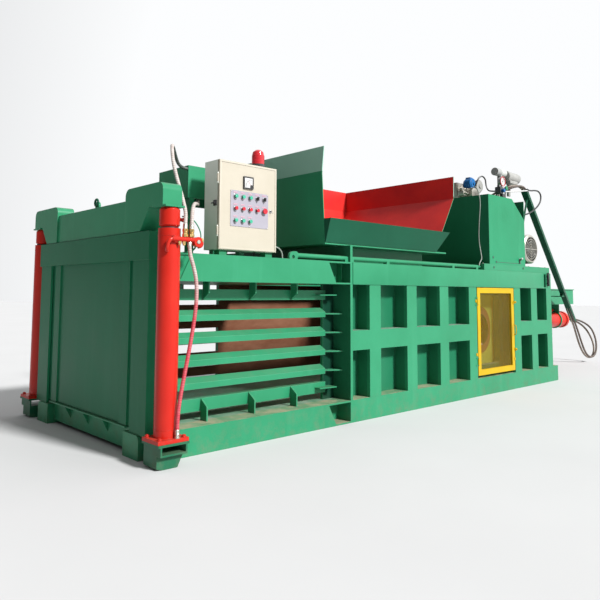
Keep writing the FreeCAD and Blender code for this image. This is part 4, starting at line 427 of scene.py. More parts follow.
def beacon_look():
    """Ribbed red lens on a dark foot."""
    look = Look("beacon_lens", rough=0.12, coat=0.6)
    foot_height, rib = 0.034, 0.006
    z = look.along("Z")
    lens = look.over(z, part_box("beacon")[0].z + foot_height)
    ribs = look.folded(z, rib)
    # Painted light and shade: each rib of the lens runs from darker to lighter red.
    rib_shading = look.mix(look.band(ribs, 0.0, rib), (0.40, 0.008, 0.014), (0.56, 0.03, 0.04))
    look.set("Base Color", look.mix(lens, (0.05, 0.05, 0.05), rib_shading))
    look.relief(ribs, depth=0.002, strength=0.6)
    return look


def cabinet_look():
    """Cream door, lilac-grey control panel, chrome bezels and a black meter case."""
    look = Look("enamel_cabinet_door", rough=0.42, spec=0.3)
    x, y, z = (look.along(letter) for letter in "XYZ")

    def before(depth):
        return look.under(y, (FRONT - depth) / 1000)

    def inside(rectangle):
        left, right, low, high = (edge / 1000 for edge in rectangle)
        wide = look.times(look.over(x, left - ORIGIN / 1000), look.under(x, right - ORIGIN / 1000))
        return look.times(wide, look.times(look.over(z, low), look.under(z, high)))

    proud = before(1.2)
    on_panel = look.times(proud, inside(PANEL))
    on_meter = look.times(proud, inside(METER))
    shiny = look.larger(look.times(before(4.2), on_panel), look.times(proud, inside(LOCK)))
    paint = look.mottled((0.475, 0.435, 0.355), (0.44, 0.40, 0.32), 3.0, 5.0, 0.6)
    lilac = look.mottled((0.335, 0.32, 0.365), (0.30, 0.285, 0.33), 5.0, 4.0)
    plating = look.mottled((0.62, 0.62, 0.63), (0.48, 0.48, 0.49), 60.0, 3.0)
    body = look.mix(on_meter, look.mix(on_panel, paint, lilac), (0.02, 0.02, 0.021))
    look.set("Base Color", look.mix(shiny, body, plating))
    look.set("Metallic", shiny)
    look.set("Roughness", look.band(shiny, 0.0, 1.0, 0.42, 0.2))
    look.relief(look.noise(420.0, 2.0), depth=0.0003, rounding=0.0015)
    return look


def filter_look():
    """White canister with a grey cap at its door end and a dark bracket at its foot."""
    look = Look("enamel_filter", rough=0.35, spec=0.3)
    cap_length, body_height = 0.11, 0.102
    low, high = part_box("return_filter")
    cap = look.under(look.along("X"), low.x + cap_length)
    foot = look.under(look.along("Z"), high.z - body_height)
    white = look.mottled((0.56, 0.57, 0.55), (0.48, 0.50, 0.46), 9.0)
    dark = look.mottled((0.05, 0.055, 0.055), (0.12, 0.11, 0.10), 30.0, low=0.4)
    look.set("Base Color", look.mix(foot, look.mix(cap, white, (0.33, 0.34, 0.33)), dark))
    look.relief(look.noise(120.0, 3.0), depth=0.0004, rounding=0.003)
    return look


DRESSED = (
    (green, "chamber_beam_near chamber_beam_far roof_plate front_sill hose_bridge guide_pipe oil_tank "
            "rear_frame cylinder_beam crossbeam"),
    (green_door_shaded, "door_plate door_portal unit_guard"),
    (green_shaded, "hopper_flap"),
    # The cylinder brackets: a darker copy of the green, as painted shade from the body above them.
    (enamel("enamel_green_bracket_shaded", None, (0.013, 0.130, 0.064), (0.03, 0.19, 0.10), (0.010, 0.105, 0.05)),
     "cylinder_bracket_near cylinder_bracket_far"),
    # The hose tray: a darker copy of the green as painted shade, with painted highlights along its edges.
    (enamel("enamel_green_tray_shaded", None, (0.006, 0.07, 0.036), (0.010, 0.09, 0.05), (0.005, 0.055, 0.028),
            dust=0.0, lining=painted_edge_highlights, spec=0.06), "hose_tray"),
    (enamel("enamel_green_base", *GREENS, dust=0.85, settled_dust=(0.33, 0.29, 0.19)),
     "base_beam_near base_beam_far"),
    (enamel("enamel_green_press_lined", *GREENS, dust=0.75, settled_dust=(0.30, 0.34, 0.29),
            lining=press_lining), "press_side_near press_side_far"),
    (enamel("enamel_green_chamber", *GREENS, dust=0.7, settled_dust=(0.30, 0.33, 0.27), lining=inside_rust),
     "chamber_floor"),
    (enamel("enamel_green_bulkhead", *GREENS, dust=0.7, settled_dust=(0.30, 0.33, 0.27),
            lining=bulkhead_lining), "bulkhead"),
    (enamel("enamel_green_grille", *GREENS, dust=0.2, lining=grille_lining),
     "tie_grille_near tie_grille_far"),
    (enamel("enamel_green_hopper", *GREENS, lining=hopper_lining), "hopper"),
    (red, "lift_barrel_near lift_barrel_far main_barrel hose_manifold lift_rod_near lift_rod_far"),
    (enamel("enamel_case_grey", None, (0.92, 0.93, 0.86), (0.95, 0.96, 0.90), (0.86, 0.87, 0.80), rough=0.5,
            dust=0.1, chips=0.2, lining=feet_lining), "cabinet_box"),
    (cabinet_look(), "cabinet_door"),
    (beacon_look(), "beacon"),
    (enamel("enamel_motor", None, (0.13, 0.15, 0.155), (0.17, 0.19, 0.195), (0.10, 0.12, 0.125), rough=0.4),
     "pump_motor motor_fan"),
    (zinc, "pump_set valve_stack fan_cover"),
    (metal("steel_machined", (0.60, 0.60, 0.58), (0.44, 0.44, 0.43)), "pressure_gauge"),
    (filter_look(), "return_filter"),
    (chrome, "main_rod"),
    (enamel("steel_scoured", None, (0.18, 0.12, 0.08), (0.26, 0.20, 0.14), (0.12, 0.08, 0.05), rough=0.5,
            lining=ram_lining), "ram_box"),
    (screen_door_look(), "inspection_door"),
    (button_green, "green_button_1 green_button_2 green_button_3 start_button_1 start_button_2 "
                   "start_button_3"),
    (button_red, "red_button_1 red_button_2 red_button_3 red_button_4 stop_button"),
    (black, "selector_left selector_right"),
)

for look, names in DRESSED:
    for name in names.split():
        surface = frame["nodes"][name].data.materials
        surface.clear()
        surface.append(look.material)


# ---------------------------------------------------------------- camera

def place_camera():
    """The photograph's view: a camera 1.13 m above the floor, looking past the near door post."""
    data = bpy.data.cameras.new("camera")
    data.sensor_width = 36.0
    data.lens = 36.66
    data.shift_x = 0.0317
    data.shift_y = -0.1017
    data.clip_end = 200.0
    camera = placed("camera", data)
    eye = Vector((-4.104, -4.609, 1.128))
    right = Vector((0.741, -0.672, 0.007)).normalized()
    ahead = Vector((0.669, 0.738, 0.087)).normalized()
    up = right.cross(ahead).normalized()
    turned = Matrix((right, up, -ahead)).transposed().to_4x4()
    camera.matrix_world = Matrix.LocRotScale(eye, None, None) @ turned
    bpy.context.scene.camera = camera


place_camera()


# ---------------------------------------------------------------- cords

def cord(name, route, radius, look):
    """A round cord on one smooth curve with the route's points as its control points."""
    points = [in_frame(*place) for place in route]
    curve = bpy.data.curves.new(name, "CURVE")
    curve.dimensions = "3D"
    spline = curve.splines.new("NURBS")
    spline.points.add(len(points) - 1)
    for point, place in zip(spline.points, points):
        point.co = (*place, 1.0)
    spline.order_u = 3
    spline.use_endpoint_u = True
    spline.resolution_u = 8
    curve.bevel_depth = radius
    curve.bevel_resolution = 5
    curve.use_fill_caps = True
    curve.materials.append(look.material)
    piece = placed(name, curve)
    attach(piece, "frame")
    return piece


def hose(name, route, radius, look, node):
    """A hydraulic hose that stands for one of the CAD model's."""
    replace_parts(cord(name, route, radius, look), node)


# lift hoses, from the manifold beside the near lift cylinder
OVER = [(140, -1183.3, 1548), (140, -1183.3, 1584), (147, -1174, 1618), (161, -1152, 1656),
        (174, -1118, 1702), (177, -1068, 1800), (178, -1012, 1905), (183, -956, 2012), (196, -913, 2098),
        (222, -864, 2166), (268, -792, 2204), (330, -708, 2212), (386, -640, 2190), (430, -598, 2152),
        (455, -581, 2127), (485, -570, 2110), (519, -564, 2100), (553, -564, 2100)]
UNDER = [(190, -1183.3, 1548), (190, -1183.3, 1586), (198, -1174, 1626), (217, -1148, 1666),
         (254, -1100, 1706), (315, -1020, 1742), (400, -910, 1770), (510, -770, 1792), (612, -640, 1808),
         (664, -560, 1838), (684, -516, 1912), (692, -494, 2020), (692, -494, 2119)]
DOWN = [(176, -1183.3, 1458), (176, -1183.3, 1388), (206, -1186.3, 1310), (235, -1187.3, 1205),
        (240, -1186.3, 1080), (224, -1184.3, 930), (194, -1183.3, 765), (160, -1182.3, 600),
        (128, -1183.3, 450), (109, -1183.3, 320), (109, -1183.3, 189)]

# main hoses, from the valve to the tail of the main cylinder
VALVE_X, VALVE_Y, PORT_ASIDE = 4740, -485, 22
NEAR_PORT_Z, FAR_PORT_Z = 2130, 2205
CYLINDER_Z = 700
MOUTH_X, NEAR_MOUTH_Y, FAR_MOUTH_Y = 8590, -84, -28
TRAY_TOP = Vector((5596, -860, 2470))
TRAY_END = Vector((8183, -370, 679))
TRAY_ALONG = (TRAY_END - TRAY_TOP).normalized()
TRAY_ACROSS = Z.cross(TRAY_ALONG).normalized()
TRAY_UP = TRAY_ALONG.cross(TRAY_ACROSS).normalized()


def main_route(step, port_z, loop):
    """From a valve port over the guard's corner, down the tray and round the tail loop to the cylinder."""
    port_y = VALVE_Y + PORT_ASIDE * step
    strand_aside, strand_height = 17.25, 20.3
    climb = [(VALVE_X, port_y, port_z), (4890, port_y, port_z), (5030, -515 + 20 * step, port_z + 60),
             (5170, -590 + 20 * step, 2350 + 10 * step), (5310, -700 + 20 * step, 2470 + 10 * step),
             (5445, -820 + 18 * step, 2538 + 6 * step)]
    bed = [tuple(TRAY_TOP + (TRAY_END - TRAY_TOP) * share + TRAY_ACROSS * (strand_aside * step * spread)
                 + TRAY_UP * (strand_height + lift))
           for share, spread, lift in ((-0.016, 1.12, 12), (0.035, 1, 0), (1.03, 1, 0))]
    tail = [(MOUTH_X + x, y, CYLINDER_Z + rise) for x, y, rise in loop]
    return climb + bed + tail


MAIN_NEAR = main_route(-1, NEAR_PORT_Z, [
    (-238, -374, -180), (-188, -384, -288), (-150, -398, -395), (-104, -414, -496), (-38, -430, -576),
    (66, -448, -616), (178, -462, -588), (252, -466, -494), (274, -458, -368), (278, -432, -248),
    (286, -376, -134), (280, -284, -60), (232, -196, -12), (160, -122, 4), (76, -84, 0), (0, -84, 0)])
MAIN_FAR = main_route(1, FAR_PORT_Z, [
    (-240, -332, -185), (-186, -338, -298), (-144, -350, -402), (-92, -368, -504), (-14, -388, -588),
    (98, -406, -628), (210, -418, -598), (282, -418, -502), (296, -398, -376), (292, -348, -250),
    (288, -280, -144), (268, -196, -66), (214, -118, -16), (144, -58, 2), (66, -28, 0), (0, -28, 0)])

GUARD_CABLE = [(4600, -690, 2404), (4545, -740, 2420), (4468, -820, 2404), (4408, -890, 2330),
               (4402, -912, 2190), (4400, -900, 2060), (4402, -888, 1930), (4402, -880, 1770),
               (4398, -902, 1620), (4362, -938, 1540), (4308, -955, 1506), (4272, -958, 1480),
               (4262, -958, 1448)]
LOOP_HOSE = [(5316, -940, 2140), (5440, -940, 2140), (5570, -935, 2172), (5720, -925, 2226),
             (5860, -914, 2290), (5970, -908, 2372), (5990, -906, 2462), (5920, -905, 2508),
             (5800, -904, 2504), (5700, -904, 2486), (5622, -904, 2486)]
CABINET_CABLE = [(1192, -860, 1500), (1224, -860, 1502), (1262, -862, 1494), (1292, -866, 1468),
                 (1300, -870, 1434), (1300, -872, 1400)]

LIFT_RADIUS, MAIN_RADIUS, LOOP_RADIUS, CABLE_RADIUS = 0.013, 0.015, 0.010, 0.006

hose("hose_over", OVER, LIFT_RADIUS, wrap_over, "lift_hoses")
hose("hose_under", UNDER, LIFT_RADIUS, wrap_white, "lift_hoses")
hose("hose_down", DOWN, LIFT_RADIUS, wrap_faded, "lift_hoses")
hose("main_hose_near", MAIN_NEAR, MAIN_RADIUS, wrap_dark, "main_hoses")
hose("main_hose_far", MAIN_FAR, MAIN_RADIUS, wrap_pale, "main_hoses")


# ---------------------------------------------------------------- worked pieces

def across(along):
    """Two unit vectors square to one direction."""
    helper = Z if abs(along.dot(Z)) < 0.9 else X
    side = along.cross(helper).normalized()
    return side, along.cross(side).normalized()


def smooth_line(knots, steps):
    """Points on a smooth line through the knots, with a number of steps from each knot to the next."""
    line = []
    for i in range(len(knots) - 1):
        before = knots[max(i - 1, 0)]
        after = knots[min(i + 2, len(knots) - 1)]
        for step in range(steps):
            t = step / steps
            line.append(0.5 * (2 * knots[i] + (knots[i + 1] - before) * t
                               + (2 * before - 5 * knots[i] + 4 * knots[i + 1] - after) * t * t
                               + (3 * knots[i] - before - 3 * knots[i + 1] + after) * t ** 3))
    return line + [knots[-1]]


def around(centre, y, reach, turn):
    """A point on an upright circle about a centre given as (x, z)."""
    x, z = centre
    return (x + reach * math.cos(turn), y, z + reach * math.sin(turn))


class Work:
    """Worked metal and plastic gathered in one mesh.  Sizes are in millimetres."""

    def __init__(self):
        self.mesh = bmesh.new()

    def block(self, low, high, bevel=1.0):
        """A box between two corners, with its edges bevelled."""
        low, high = at(*low), at(*high)
        corners = bmesh.ops.create_cube(self.mesh, size=1.0)["verts"]
        for corner in corners:
            corner.co = Vector(b + (t - b) * (c + 0.5) for b, t, c in zip(low, high, corner.co))
        rims = list({edge for corner in corners for edge in corner.link_edges})
        bmesh.ops.bevel(self.mesh, geom=rims, offset=bevel / 1000, segments=2, profile=0.6, affect="EDGES")

    def row(self, low, high, step, count, bevel=1.0):
        """Blocks of one size, each a step further along X."""
        for i in range(count):
            self.block((low[0] + step * i, *low[1:]), (high[0] + step * i, *high[1:]), bevel)

    def border(self, rectangle, front, back, width, bevel=1.0):
        """Four bars just inside a rectangle on the cabinet's front."""
        left, right, low, high = rectangle
        self.block((left, front, low), (left + width, back, high), bevel)
        self.block((right - width, front, low), (right, back, high), bevel)
        self.block((left + width, front, low), (right - width, back, low + width), bevel)
        self.block((left + width, front, high - width), (right - width, back, high), bevel)

    def prism(self, outline, shift):
        """A flat outline given body by a shift."""
        lower = [self.mesh.verts.new(at(*corner)) for corner in outline]
        upper = [self.mesh.verts.new(at(*corner) + Vector(shift) / 1000) for corner in outline]
        self.skin([lower, upper])

    def ring(self, middle, side, other, radius, count):
        """Corners on a circle, or one corner where the radius is nothing."""
        turns = [2 * math.pi * i / count for i in range(count if radius else 1)]
        spokes = [side * math.cos(turn) + other * math.sin(turn) for turn in turns]
        return [self.mesh.verts.new(middle + spoke * (radius / 1000)) for spoke in spokes]

    def wall(self, lower, upper):
        """Faces from one ring to the next."""
        count = max(len(lower), len(upper))
        for i in range(count):
            k = (i + 1) % count
            corners = ((lower, i), (lower, k), (upper, k), (upper, i))
            self.mesh.faces.new(list(dict.fromkeys(ring[place % len(ring)] for ring, place in corners)))

    def skin(self, rings):
        """Walls from ring to ring, closed at both ends."""
        for lower, upper in zip(rings, rings[1:]):
            self.wall(lower, upper)
        for end in (rings[0], rings[-1]):
            if len(end) > 2:
                self.mesh.faces.new(end)

    def lathe(self, place, along, profile, sides):
        """One ring for each (height, radius) pair along a direction."""
        foot, plane = at(*place), across(along)
        return [self.ring(foot + along * (height / 1000), *plane, radius, sides)
                for height, radius in profile]

    def turned(self, place, along, profile, sides=28):
        """A turned form from (height, radius) pairs along a direction.  Six sides make a hexagon."""
        self.skin(self.lathe(place, along, profile, sides))

    def rod(self, place, along, radius, length, sides):
        """A plain round bar with flat ends."""
        self.turned(place, along, [(0, radius), (length, radius), (length, 0)], sides)

    def stud(self, place, along, radius, straight, height, tip, sides=28):
        """A round head: straight to one height, then drawn in to the radius of its tip."""
        self.turned(place, along, [(0, radius), (straight, radius), (height, tip), (height, 0)], sides)

    def hexagon(self, place, along, radius, height):
        """A bolt's head or a nut, with its outer edge drawn in a little."""
        self.turned(place, along, [(0, radius), (height * 0.82, radius), (height, radius * 0.86)], sides=6)

    def washer(self, place, along, outer, inner, height):
        """A flat ring with a hole through it."""
        profile = ((0, inner), (0, outer), (height, outer), (height, inner))
        rings = self.lathe(place, along, profile, 28)
        for one, other in zip(rings, rings[1:] + rings[:1]):
            self.wall(one, other)

    def bent(self, places, radius, sides=12, steps=6):
        """A round bar or pipe bent along a smooth line through the places."""
        line = smooth_line([at(*place) for place in places], steps)
        side = across((line[1] - line[0]).normalized())[0]
        rings = []
        for before, middle, after in zip(line[:1] + line, line, line[1:] + line[-1:]):
            ahead = (after - before).normalized()
            side = (side - ahead * side.dot(ahead)).normalized()
            rings.append(self.ring(middle, side, ahead.cross(side), radius, sides))
        self.skin(rings)

    def bar(self, start, end, radius):
        """A thin straight bar, as for a needle or a mark on a dial."""
        self.bent([start, end], radius, sides=6, steps=1)

    def done(self, name, look, body="frame", slot=None):
        """Make the piece, riding on a body.  A slot is worked out, the look's own where none is given, but
        the piece is not given it.
        """
        slot = slot or look.slot
        bmesh.ops.recalc_face_normals(self.mesh, faces=self.mesh.faces)
        data = bpy.data.meshes.new(name)
        self.mesh.to_mesh(data)
        self.mesh.free()
        data.shade_smooth()
        data.set_sharp_from_angle(angle=math.radians(32))
        data.materials.append(look.material)
        piece = placed(name, data)
        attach(piece, body)


# control cabinet

METER_FRONT = -934


def control_places():
    """Centres of the controls on the panel: five, five and three in a row."""
    left, column_pitch, top, row_pitch = 760, 72, 1863, 93
    return [(left + column_pitch * column, top - row_pitch * row)
            for row, count in enumerate((5, 5, 3)) for column in range(count)]


def door_dressing():
    """Rim, blank label plates and screws on the cabinet's front."""
    rim = Work()
    rim.border(DOOR, PROUD, FRONT, 13)
    rim.done("door_rim", cream, "panel_door")
    plates = Work()
    for x, z in control_places():
        plates.block((x - 19, PROUD - 1.2, z + 26), (x + 19, PROUD, z + 37), bevel=0.4)
    plates.done("label_plates", label_pink, "panel_door")
    screws = Work()
    left, right, low, high = PANEL
    for x in (left + 9, (left + right) / 2, right - 9):
        for z in (low + 9, high - 9):
            screws.turned((x, PROUD, z), -Y, [(0, 4.5), (1.2, 4.5), (2.2, 3.2), (2.5, 0)], sides=16)
    left, right, low, high = METER
    for x in (left + 5, right - 5):
        for z in (low + 5, high - 5):
            screws.turned((x, METER_FRONT, z), -Y, [(0, 2.6), (0.8, 2.2), (1.0, 0)], sides=12)
    screws.done("panel_screws", zinc, "panel_door")


def meter():
    """A square meter whose needle turns about a corner of its dial."""
    pivot = (912, 1952)
    left, right, low, high = METER
    rim, dial_y, marks_y, needle_y = 10, -931.4, -931.7, -932.6
    case = Work()
    case.border(METER, METER_FRONT, -929, rim, bevel=1.5)
    case.stud(around(pivot, dial_y, 0, 0), -Y, 14, 1.6, 2.4, 11)
    case.done("meter_case", black, "panel_door")
    dial = Work()
    dial.block((left + rim, dial_y, low + rim), (right - rim, -930, high - rim), bevel=0.4)
    dial.done("meter_dial", dial_white, "panel_door", "hose_wrap")
    marks = Work()
    turns = [math.radians(90 + 7.5 * i) for i in range(13)]
    for i, turn in enumerate(turns):
        inner = 52 if i % 3 else 46
        marks.bar(around(pivot, marks_y, inner, turn), around(pivot, marks_y, 58, turn), 0.7)
    marks.bent([around(pivot, marks_y, 54, turn) for turn in turns], 0.5, sides=6, steps=2)
    marks.done("meter_marks", black, "panel_door")
    needle = Work()
    needle.bar(around(pivot, needle_y, 0, 0), around(pivot, needle_y, 50, 2.2), 0.8)
    needle.done("meter_needle", button_red, "panel_door")


def cabinet_fittings():
    """Lock with its key ring, side latch, foot bolts and cable glands."""
    lock = Work()
    x, z = 1120, 1776
    lock.stud((x, PROUD, z), -Y, 13.5, 3, 4.5, 11.5)
    lock.block((x - 1.5, -940, z - 8), (x + 1.5, -927, z + 8), bevel=0.8)
    lock.washer((x, -945, z - 14), X, 9, 7, 1.6)
    lock.done("door_lock", chrome, "panel_door")
    latch = Work()
    latch.block((597, -893, 1778), (608, -857, 1822), bevel=3)
    latch.stud((597, -875, 1800), -X, 11, 6, 9, 8)
    latch.block((586, -880, 1796), (597, -842, 1804), bevel=2)
    latch.done("side_latch", black)
    feet = Work()
    for x in (667, 1125):
        for y in (-870, -815):
            feet.hexagon((x, y, 1400), Z, 9, 7)
    feet.done("cabinet_foot_bolts", zinc)
    glands = Work()
    for x in (700, 760, 1040):
        glands.hexagon((x, -815, 1448), -Z, 13, 12)
        glands.stud((x, -815, 1436), -Z, 10, 9, 12, 7, sides=18)
    glands.hexagon((1184, -860, 1500), X, 12, 8)
    glands.done("cable_glands", black)


def cabinet_inside():
    """Mounting plate with its cable ducts, contactors, relays and terminals."""
    face = -742
    rail = face - 8
    plate = Work()
    plate.block((650, face, 1490), (1135, face + 5, 2090))
    for x in (662, 1123):
        for z in (1502, 2078):
            plate.hexagon((x, face, z), -Y, 8, 6)
    for z in (2000, 1862, 1722, 1560):
        plate.block((700, rail, z - 17), (1090, face, z + 17))
    plate.done("mounting_plate", zinc)
    ducts = Work()
    for z in (2055, 1925, 1790, 1645):
        ducts.block((690, -792, z - 19), (1095, face, z + 19), bevel=2)
        ducts.row((700, -794, z - 20), (706, -760, z + 20), step=12, count=33, bevel=0.5)
    for x in (655, 1100):
        ducts.block((x, -792, 1520), (x + 30, face, 2074), bevel=2)
    ducts.done("cable_ducts", cable_grey)
    units = Work()
    units.row((712, -812, 1958), (768, rail, 2032), step=70, count=4, bevel=3)
    units.row((720, -824, 1974), (760, -812, 2016), step=70, count=4, bevel=2)
    units.row((712, -806, 1826), (737, rail, 1898), step=30, count=9, bevel=2)
    units.row((712, -800, 1682), (782, rail, 1762), step=88, count=3, bevel=3)
    units.done("contactors", black)
    relays = Work()
    relays.row((992, -804, 1830), (1003, rail, 1894), step=14, count=7, bevel=1.5)
    relays.row((706, -786, 1534), (716, rail, 1588), step=12.6, count=30)
    relays.block((986, -816, 1956), (1086, rail, 2034), bevel=4)
    relays.done("relays_and_terminals", dial_white)
    switch = Work()
    switch.turned((1036, -816, 1995), -Y, [(0, 24), (8, 24), (10, 20), (18, 18), (18, 0)], sides=24)
    switch.block((1030, -842, 1976), (1042, -832, 2014), bevel=2)
    for x in (740, 810, 880, 950):
        switch.rod((x, -824, 1995), -Y, 6, 2, sides=12)
    switch.done("main_switch", button_red)


# lift cylinders

MANIFOLD_Y, MANIFOLD_Z = -1183.3, 1474
RIDGED = [(0, 15.5), (4, 16.6), (8, 15.2), (12, 16.6), (16, 15.2), (20, 16.6), (24, 15.2), (30, 15.8),
          (34, 13.4), (34, 0)]


def manifold_fittings():
    """Brass ports with the hoses' ridged ferrules on top, and plugs below and at the end."""
    brassware, ferrules, plugs = Work(), Work(), Work()
    flanged = [(0, 16), (6, 16), (7, 18), (9, 18), (10, 16), (12, 16)]
    for x in (OVER[0][0], UNDER[0][0]):
        brassware.hexagon((x, MANIFOLD_Y, 1491), Z, 20, 22)
        brassware.turned((x, MANIFOLD_Y, 1513), Z, flanged, sides=24)
        brassware.hexagon((x, MANIFOLD_Y, 1525), Z, 19, 20)
        ferrules.turned((x, MANIFOLD_Y, 1545), Z, RIDGED)
    brassware.done("brass_fittings", brass)
    ferrules.turned(DOWN[0], -Z, RIDGED)
    neck = [(0, 18), (10, 18), (11, 15), (20, 15), (21, 16.6)]
    ferrules.turned(DOWN[-1], Z, neck + [(21 + height, radius) for height, radius in RIDGED])
    ferrules.done("hose_ferrules", zinc)
    for x in (98, 132, 224):
        plugs.hexagon((x, MANIFOLD_Y, 1460), -Z, 13, 16)
        plugs.stud((x, MANIFOLD_Y, 1444), -Z, 9, 8, 11, 6, sides=18)
    plugs.hexagon((266, MANIFOLD_Y, MANIFOLD_Z), X, 19, 14)
    plugs.done("manifold_plugs", brass)


def manifold_pipes():
    """Bent ends of the manifold, the ring joint on its right end, and two thin pilot pipes."""
    elbows = Work()
    elbows.bent([(52, MANIFOLD_Y, MANIFOLD_Z), (28, -1182, 1468), (14, -1178, 1444), (12, -1170, 1412),
                 (20, -1158, 1392)], 13)
    elbows.bent([(262, MANIFOLD_Y, MANIFOLD_Z), (274, -1183, 1470), (280, -1178, 1452), (274, -1172, 1436),
                 (254, -1168, 1430)], 11)
    elbows.washer((240, -1164, 1462), -Y, 34, 17, 34)
    elbows.rod((240, -1166, 1462), -Y, 24, 24, sides=24)
    elbows.done("manifold_elbows", red)
    caps = Work()
    caps.hexagon((240, -1188, 1462), -Y, 15, 14)
    caps.done("manifold_caps", zinc)
    pipes = Work()
    pipes.bent([(240, -1160, 1428), (214, -1152, 1402), (166, -1140, 1390), (118, -1126, 1384),
                (92, -1110, 1380)], 6)
    pipes.bent([(252, -1150, 1436), (290, -1140, 1470), (296, -1136, 1530), (262, -1134, 1592),
                (214, -1132, 1626), (150, -1128, 1634)], 4)
    pipes.done("pilot_pipes", green_door_shaded)


def lift_cylinder_fittings():
    """Rod seals, barrel collars and foot nuts of both lift cylinders."""
    x, y = 75, 1092
    for side, sign in SIDES:
        seal = Work()
        seal.washer((x, y * sign, 1548.2), Z, 61, 36.5, 8)
        seal.done("rod_seal_" + side, black)
        collars = Work()
        for z in (1496, 240):
            collars.washer((x, y * sign, z), Z, 76.6, 74.6, 5)
        collars.done("barrel_collars_" + side, red)
        nuts = Work()
        for nut_x in (-16, 166):
            for nut_y in (1024, 1176):
                nuts.washer((nut_x, nut_y * sign, 189), Z, 18, 9.4, 2.5)
                nuts.washer((nut_x, nut_y * sign, 191.5), Z, 14.5, 9.4, 10)
        nuts.done("foot_nuts_" + side, red)


def door_head_fittings():
    """The stub beside the near rod's head and the lifting shackle, which rise with the door."""
    stub = Work()
    stub.turned((128, -1112, 1612), X, [(0, 17), (12, 17), (13, 12), (34, 12), (35, 15), (46, 15), (47, 0)],
                sides=24)
    stub.done("rod_stub", red, "lift_door")
    shackle = Work()
    y, z, radius = -20, 1833, 27
    turns = [math.radians(30 * i) for i in range(13)]
    circle = [(58, y + radius * math.cos(turn), z + radius * math.sin(turn)) for turn in turns]
    shackle.bent(circle, 9, steps=3)
    shackle.done("lifting_shackle", green_shaded, "lift_door")


# power unit

TANK_TOP = 2052
GAUGE = (5095, 2544)


def valve_pedestals():
    """Blocks and stems that carry the valve's fittings, with plugs on their fronts."""
    pedestals = Work()
    pedestals.block((4600, -690, 2322), (4745, -556, 2424), bevel=5)
    pedestals.block((4490, -640, 2322), (4570, -556, 2380), bevel=4)
    for x in (4506, 4530, 4554):
        pedestals.stud((x, -640, 2350), -Y, 9, 26, 28, 7, sides=18)
    for x in (4486, 4508, 4530, 4552, 4574):
        pedestals.stud((x, -574, 2380), Z, 7, 96, 98, 5, sides=16)
    pedestals.turned((4800, -652, TANK_TOP), Z, [(0, 22), (330, 22), (332, 30), (350, 30), (350, 0)])
    pedestals.rod((4890, -880, TANK_TOP), Z, 16, 300, sides=28)
    pedestals.done("valve_pedestals", zinc)


def valve_coils():
    """The round coil with its plug, the small coil before it, and the pale round cover."""
    coils = Work()
    coils.turned((4672, -560, 2484), -Y, [(0, 58), (16, 66), (22, 72), (96, 72), (104, 66), (108, 54),
                                          (112, 54), (114, 20), (124, 16), (124, 0)], sides=36)
    coils.block((4640, -640, 2536), (4704, -580, 2566), bevel=4)
    coils.stud((4900, -925, 2392), -Y, 24, 30, 34, 20, sides=24)
    coils.done("valve_coils", blue)
    cover = Work()
    cover.turned((4810, -630, 2470), -Y, [(0, 66), (12, 80), (40, 80), (48, 74), (50, 34), (60, 28), (60, 0)],
                 sides=36)
    cover.done("valve_cover", cover_grey, slot="bare_steel")


def pilot_fittings():
    """Dark fittings before the gauge, the hose over the round cover and the gauge's green valve."""
    dark = Work()
    dark.block((4858, -925, 2352), (4930, -850, 2440), bevel=6)
    dark.hexagon((4894, -888, 2440), Z, 26, 26)
    dark.turned((4930, -888, 2396), X, [(0, 20), (20, 20), (22, 14), (60, 14), (60, 0)], sides=20)
    dark.block((4960, -900, 2300), (5030, -840, 2368), bevel=5)
    dark.rod((4994, -870, TANK_TOP), Z, 14, 248, sides=18)
    dark.bent([(4706, -665, 2430), (4712, -700, 2520), (4745, -712, 2566), (4810, -716, 2586),
               (4880, -712, 2556), (4905, -710, 2480), (4902, -740, 2420), (4894, -800, 2400),
               (4894, -852, 2396)], 9)
    dark.rod((5085, -866, TANK_TOP), Z, 8, 386, sides=14)
    dark.done("pilot_fittings", dark_steel)
    valve = Work()
    valve.turned((5085, -862, 2450), -Y, [(0, 12), (10, 14), (14, 26), (26, 28), (30, 24), (30, 0)], sides=20)
    valve.done("gauge_valve", green)


def filter_fittings():
    """The white return pipe and the filter's canister on its bracket."""
    line = Work()
    line.bent([(4988, -888, 2396), (5060, -900, 2402), (5240, -908, 2424), (5440, -909, 2452),
               (5590, -908, 2474)], 9)
    line.done("return_line", dial_white)
    canister = Work()
    canister.turned((5340, -728, 2656), X, [(0, 70), (4, 76), (60, 76), (66, 70), (290, 70), (320, 66),
                                            (346, 50), (358, 22), (358, 0)], sides=36)
    canister.block((5360, -800, 2560), (5560, -700, 2600), bevel=8)
    canister.rod((5420, -740, 2400), Z, 24, 170, sides=20)
    canister.done("filter_canister", cover_grey)


def gauge_fittings():
    """The pressure gauge's rim, face, marks and needle."""
    front = around(GAUGE, -830, 0, 0)
    rim = Work()
    rim.washer(front, -Y, 63, 54, 8)
    rim.done("gauge_rim", button_red, slot="red_paint")
    face = Work()
    face.rod(front, -Y, 54.5, 2, sides=36)
    face.done("gauge_face", dial_white)
    marks = Work()
    for turn in (math.radians(225 - 27 * i) for i in range(11)):
        marks.bar(*(around(GAUGE, -832.6, reach, turn) for reach in (42, 50)), 1.1)
    marks.rod(around(GAUGE, -832, 0, 0), -Y, 7, 3, sides=18)
    marks.done("gauge_marks", black)
    needle = Work()
    needle.bar((5087, -834, 2532), (5119, -834, 2580), 1.6)
    needle.done("gauge_needle", button_red)


